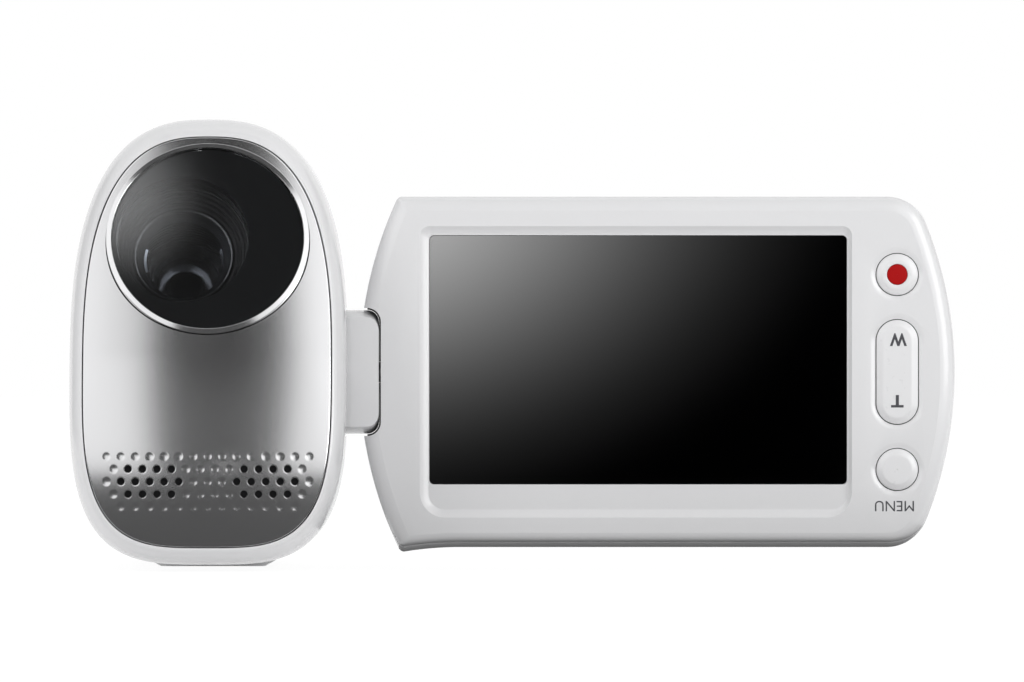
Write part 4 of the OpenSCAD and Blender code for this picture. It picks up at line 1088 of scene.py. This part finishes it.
dress(lens_black, "front_frame", "zoom_group", "focus_group", "iris_plate", "guide_rods")
dress(print_black, "lens_mask")
dress(steel, "swing_pin", "twist_shaft", "battery_door_pin", "jack_pins", "case_screws",
      "screen_screws")
dress(dull_metal, "zoom_motor", "hinge_bracket", "twist_bracket", "chassis", "card_slot",
      "microphone_capsules", "speaker")
dress(board_green, "main_board", "screen_board", "image_sensor")
dress(foam, "microphone_cloth")
dress(dark_plastic, "battery_case", "battery_pack", "memory_card", "jack_block", "screen_module")
dress(brass, "tripod_socket")
dress(display, "screen_glass")
dress(silver_key, "record_button")


# ---------- studio and camera ----------


def glow(name, strength=1.0, ramp=None, one_sided=False):
    """Emission, even or by a ramp of levels: up the card, or outwards from a point on it."""
    material = bpy.data.materials.new(name)
    material.use_nodes = True
    tree = material.node_tree
    tree.nodes.clear()
    light = added(tree, "Emission", {"Strength": strength})
    shown = light.outputs["Emission"]
    if one_sided:
        side = added(tree, "NewGeometry", {})
        clear = added(tree, "BsdfTransparent", {})
        shown = added(tree, "MixShader", {
            "Fac": side.outputs["Backfacing"], 1: shown, 2: clear.outputs["BSDF"]}).outputs[0]
    added(tree, "OutputMaterial", {"Surface": shown})
    if ramp:
        coords = added(tree, "TexCoord", {}).outputs["Generated"]
        if "round" in ramp:
            flat = added(
                tree, "VectorMath", {0: coords, 1: (*ramp["scale"], 0)}, operation="MULTIPLY")
            far = added(
                tree, "VectorMath", {0: flat.outputs["Vector"], 1: (*ramp["round"], 0)},
                operation="DISTANCE")
            share = far.outputs["Value"]
        else:
            share = added(tree, "SeparateXYZ", {"Vector": coords}).outputs["Y"]
        colours = added(tree, "ValToRGB", {"Fac": share})
        colours.color_ramp.interpolation = "B_SPLINE"
        stops = colours.color_ramp.elements
        for k, (position, value) in enumerate(ramp["stops"]):
            stop = stops[k] if k < 2 else stops.new(position)
            stop.position = position
            stop.color = (value, value, value, 1)
        feed(tree, light.inputs["Color"], colours.outputs["Color"])
    return material


def flat_mesh(name, w, h, material):
    """A rectangle about its middle, from half its sides in metres."""
    mesh = bpy.data.meshes.new(name)
    mesh.from_pydata([(-w, -h, 0), (w, -h, 0), (w, h, 0), (-w, h, 0)], [], [(0, 1, 2, 3)])
    mesh.materials.append(material)
    return mesh


def card(name, centre, towards, size, material, up=(0, 0, 1)):
    """A studio card that only reflections and glass show. Its places are in millimetres."""
    z = (Vector(towards) - Vector(centre)).normalized()
    x = Vector(up).cross(z).normalized()
    y = z.cross(x)
    w, h = size[0] / 2, size[1] / 2
    obj = linked(name, flat_mesh(name, w * MM, h * MM, material))
    turn = Matrix((x, y, z)).transposed().to_4x4()
    obj.matrix_world = Matrix.Translation(Vector(centre) * MM) @ turn
    obj.visible_camera = False
    obj.visible_diffuse = False
    obj.visible_shadow = False
    return obj


eye = (43.46, -2032, 32.7)
mirror_far = 900


def mirrored(name, point, normal, size, material):
    """A card where a flat surface, at a point of it, shows the reflection that the eye sees."""
    n = Vector(normal).normalized()
    view = (Vector(eye) - point).normalized()
    card(name, point + (2 * view.dot(n) * n - view) * mirror_far, point, size, material)


def softbox(name, centre, target, size, power):
    """A soft lamp that faces its target. Its places are in millimetres."""
    light = bpy.data.lights.new(name, "AREA")
    light.shape = "RECTANGLE"
    light.size, light.size_y = size[0] * MM, size[1] * MM
    light.energy = power
    obj = linked(name, light)
    obj.location = Vector(centre) * MM
    obj.rotation_euler = (Vector(target) - Vector(centre)).to_track_quat("-Z", "Y").to_euler()
    return obj


def camera():
    data = bpy.data.cameras.new("camera")
    data.sensor_width = 36
    data.lens = 489.7
    data.clip_start, data.clip_end = 0.01, 50
    obj = linked("camera", data)
    obj.location = Vector(eye) * MM
    obj.rotation_euler = (math.radians(90), 0, 0)
    bpy.context.scene.camera = obj


def seen_plainly(tree):
    """1 for what the camera, a mirror or glass shows, and 0 for the light on the object."""
    path = added(tree, "LightPath", {}).outputs
    seen = path["Is Camera Ray"]
    for kind in ("Is Glossy Ray", "Is Transmission Ray"):
        seen = added(tree, "Math", {0: seen, 1: path[kind]}, operation="MAXIMUM").outputs["Value"]
    return seen


def backdrop():
    """White world, and a white floor that keeps a faint shadow."""
    ambient, floor_half, floor_drop = 0.6, 6, 0.0002    # the last two in metres
    world = bpy.data.worlds.new("studio")
    world.use_nodes = True
    bpy.context.scene.world = world
    tree = world.node_tree
    shade = tree.nodes["Background"]
    shade.inputs["Color"].default_value = (1, 1, 1, 1)
    level = added(tree, "MapRange", {"Value": seen_plainly(tree), "To Min": ambient, "To Max": 1.0})
    feed(tree, shade.inputs["Strength"], level.outputs["Result"])

    material = bpy.data.materials.new("floor_paper")
    material.use_nodes = True
    tree = material.node_tree
    tree.nodes.clear()
    paper = added(tree, "BsdfDiffuse", {"Color": (0.96, 0.96, 0.96, 1)})
    lit = added(tree, "Emission", {"Strength": 1.07})
    share = added(tree, "Math", {0: seen_plainly(tree), 1: 0.88}, operation="MULTIPLY")
    blend = added(tree, "MixShader", {
        "Fac": share.outputs["Value"], 1: paper.outputs["BSDF"], 2: lit.outputs["Emission"]})
    added(tree, "OutputMaterial", {"Surface": blend.outputs["Shader"]})
    floor = linked("floor", flat_mesh("floor", floor_half, floor_half, material))
    floor.location = (0, 0, -floor_drop)


def studio():
    """Soft lamps, dark and bright cards round the object, and two cards that its glass mirrors."""
    softbox("key_left", (-700, -750, 330), (20, -30, 30), (500, 700), 2.4).visible_glossy = False
    softbox("key_right", (800, -700, 280), (50, -30, 30), (500, 700), 4.0)
    softbox("overhead", (40, 50, 900), (40, -20, 20), (800, 800), 0.4).visible_glossy = False

    flag = glow("front_flag", 0.1, {"stops": [
        (0.0, 0.8), (0.3, 0.7), (0.4, 0.9), (0.52, 0.7), (0.62, 0.2), (1.0, 0.2)]})
    card("front_flag", (25, -1100, 500), (25, 0, 40), (540, 2600), flag)
    card("top_flag", (0, -560, 1500), (0, 0, 40), (1300, 1500), glow("grey_card", 0.09))
    card("floor_flag", (-10, -575, 0.4), (-10, -575, 100), (540, 1050), glow("dark_card", 0.09),
         up=(0, 1, 0))
    card("bright_right", (700, -820, 300), (30, 0, 40), (700, 1600), glow("bright_right", 1.2))
    card("bright_left", (-760, -760, 300), (0, 0, 40), (700, 1600), glow("bright_left", 1.1))
    for side, name in ((-1, "edge_flag_right"), (1, "edge_flag_left")):
        card(name, (40 + 950 * side, 560, 60), (40, 0, 30), (800, 1400), glow(name, 0.35))
    shade = card(
        "screen_shade", (67, -31, 0.3), (67, -31, 100), (88, 42),
        glow("shade_card", 0.12, one_sided=True), up=(0, 1, 0))
    shade.visible_diffuse = True

    screen_glow = glow("screen_card", 3.7, {
        "scale": (0.714, 0.65), "round": (0.893, 0.8125), "stops": [
            (0.0, 1.0), (0.2, 1.0), (0.26, 0.93), (0.33, 0.72), (0.41, 0.5), (0.49, 0.32),
            (0.57, 0.18), (0.65, 0.09), (0.73, 0.036), (0.81, 0.012), (0.88, 0.002),
            (0.93, 0.0), (1.0, 0.0)]})
    middle = Vector((swing_x + screen_x, swing_y + face_d, twist_z + screen_dz))
    mirrored("screen_card", middle, (0, -1, 0), (90, 55.6), screen_glow)
    lens_glow = glow("lens_card", 1.15, {
        "scale": (1, 1), "round": (0.95, 0.7), "stops": [
            (0.0, 1.0), (0.12, 1.0), (0.26, 0.48), (0.37, 0.15), (0.45, 0.06), (0.55, 0.035),
            (1.0, 0.035)]})
    tilt = math.radians(lens_tilt)
    middle = Vector((0, window_y, window_z))
    mirrored("lens_card", middle, (0, -math.cos(tilt), math.sin(tilt)), (42, 42), lens_glow)


camera()
backdrop()
studio()
bpy.context.scene.view_settings.view_transform = "Standard"
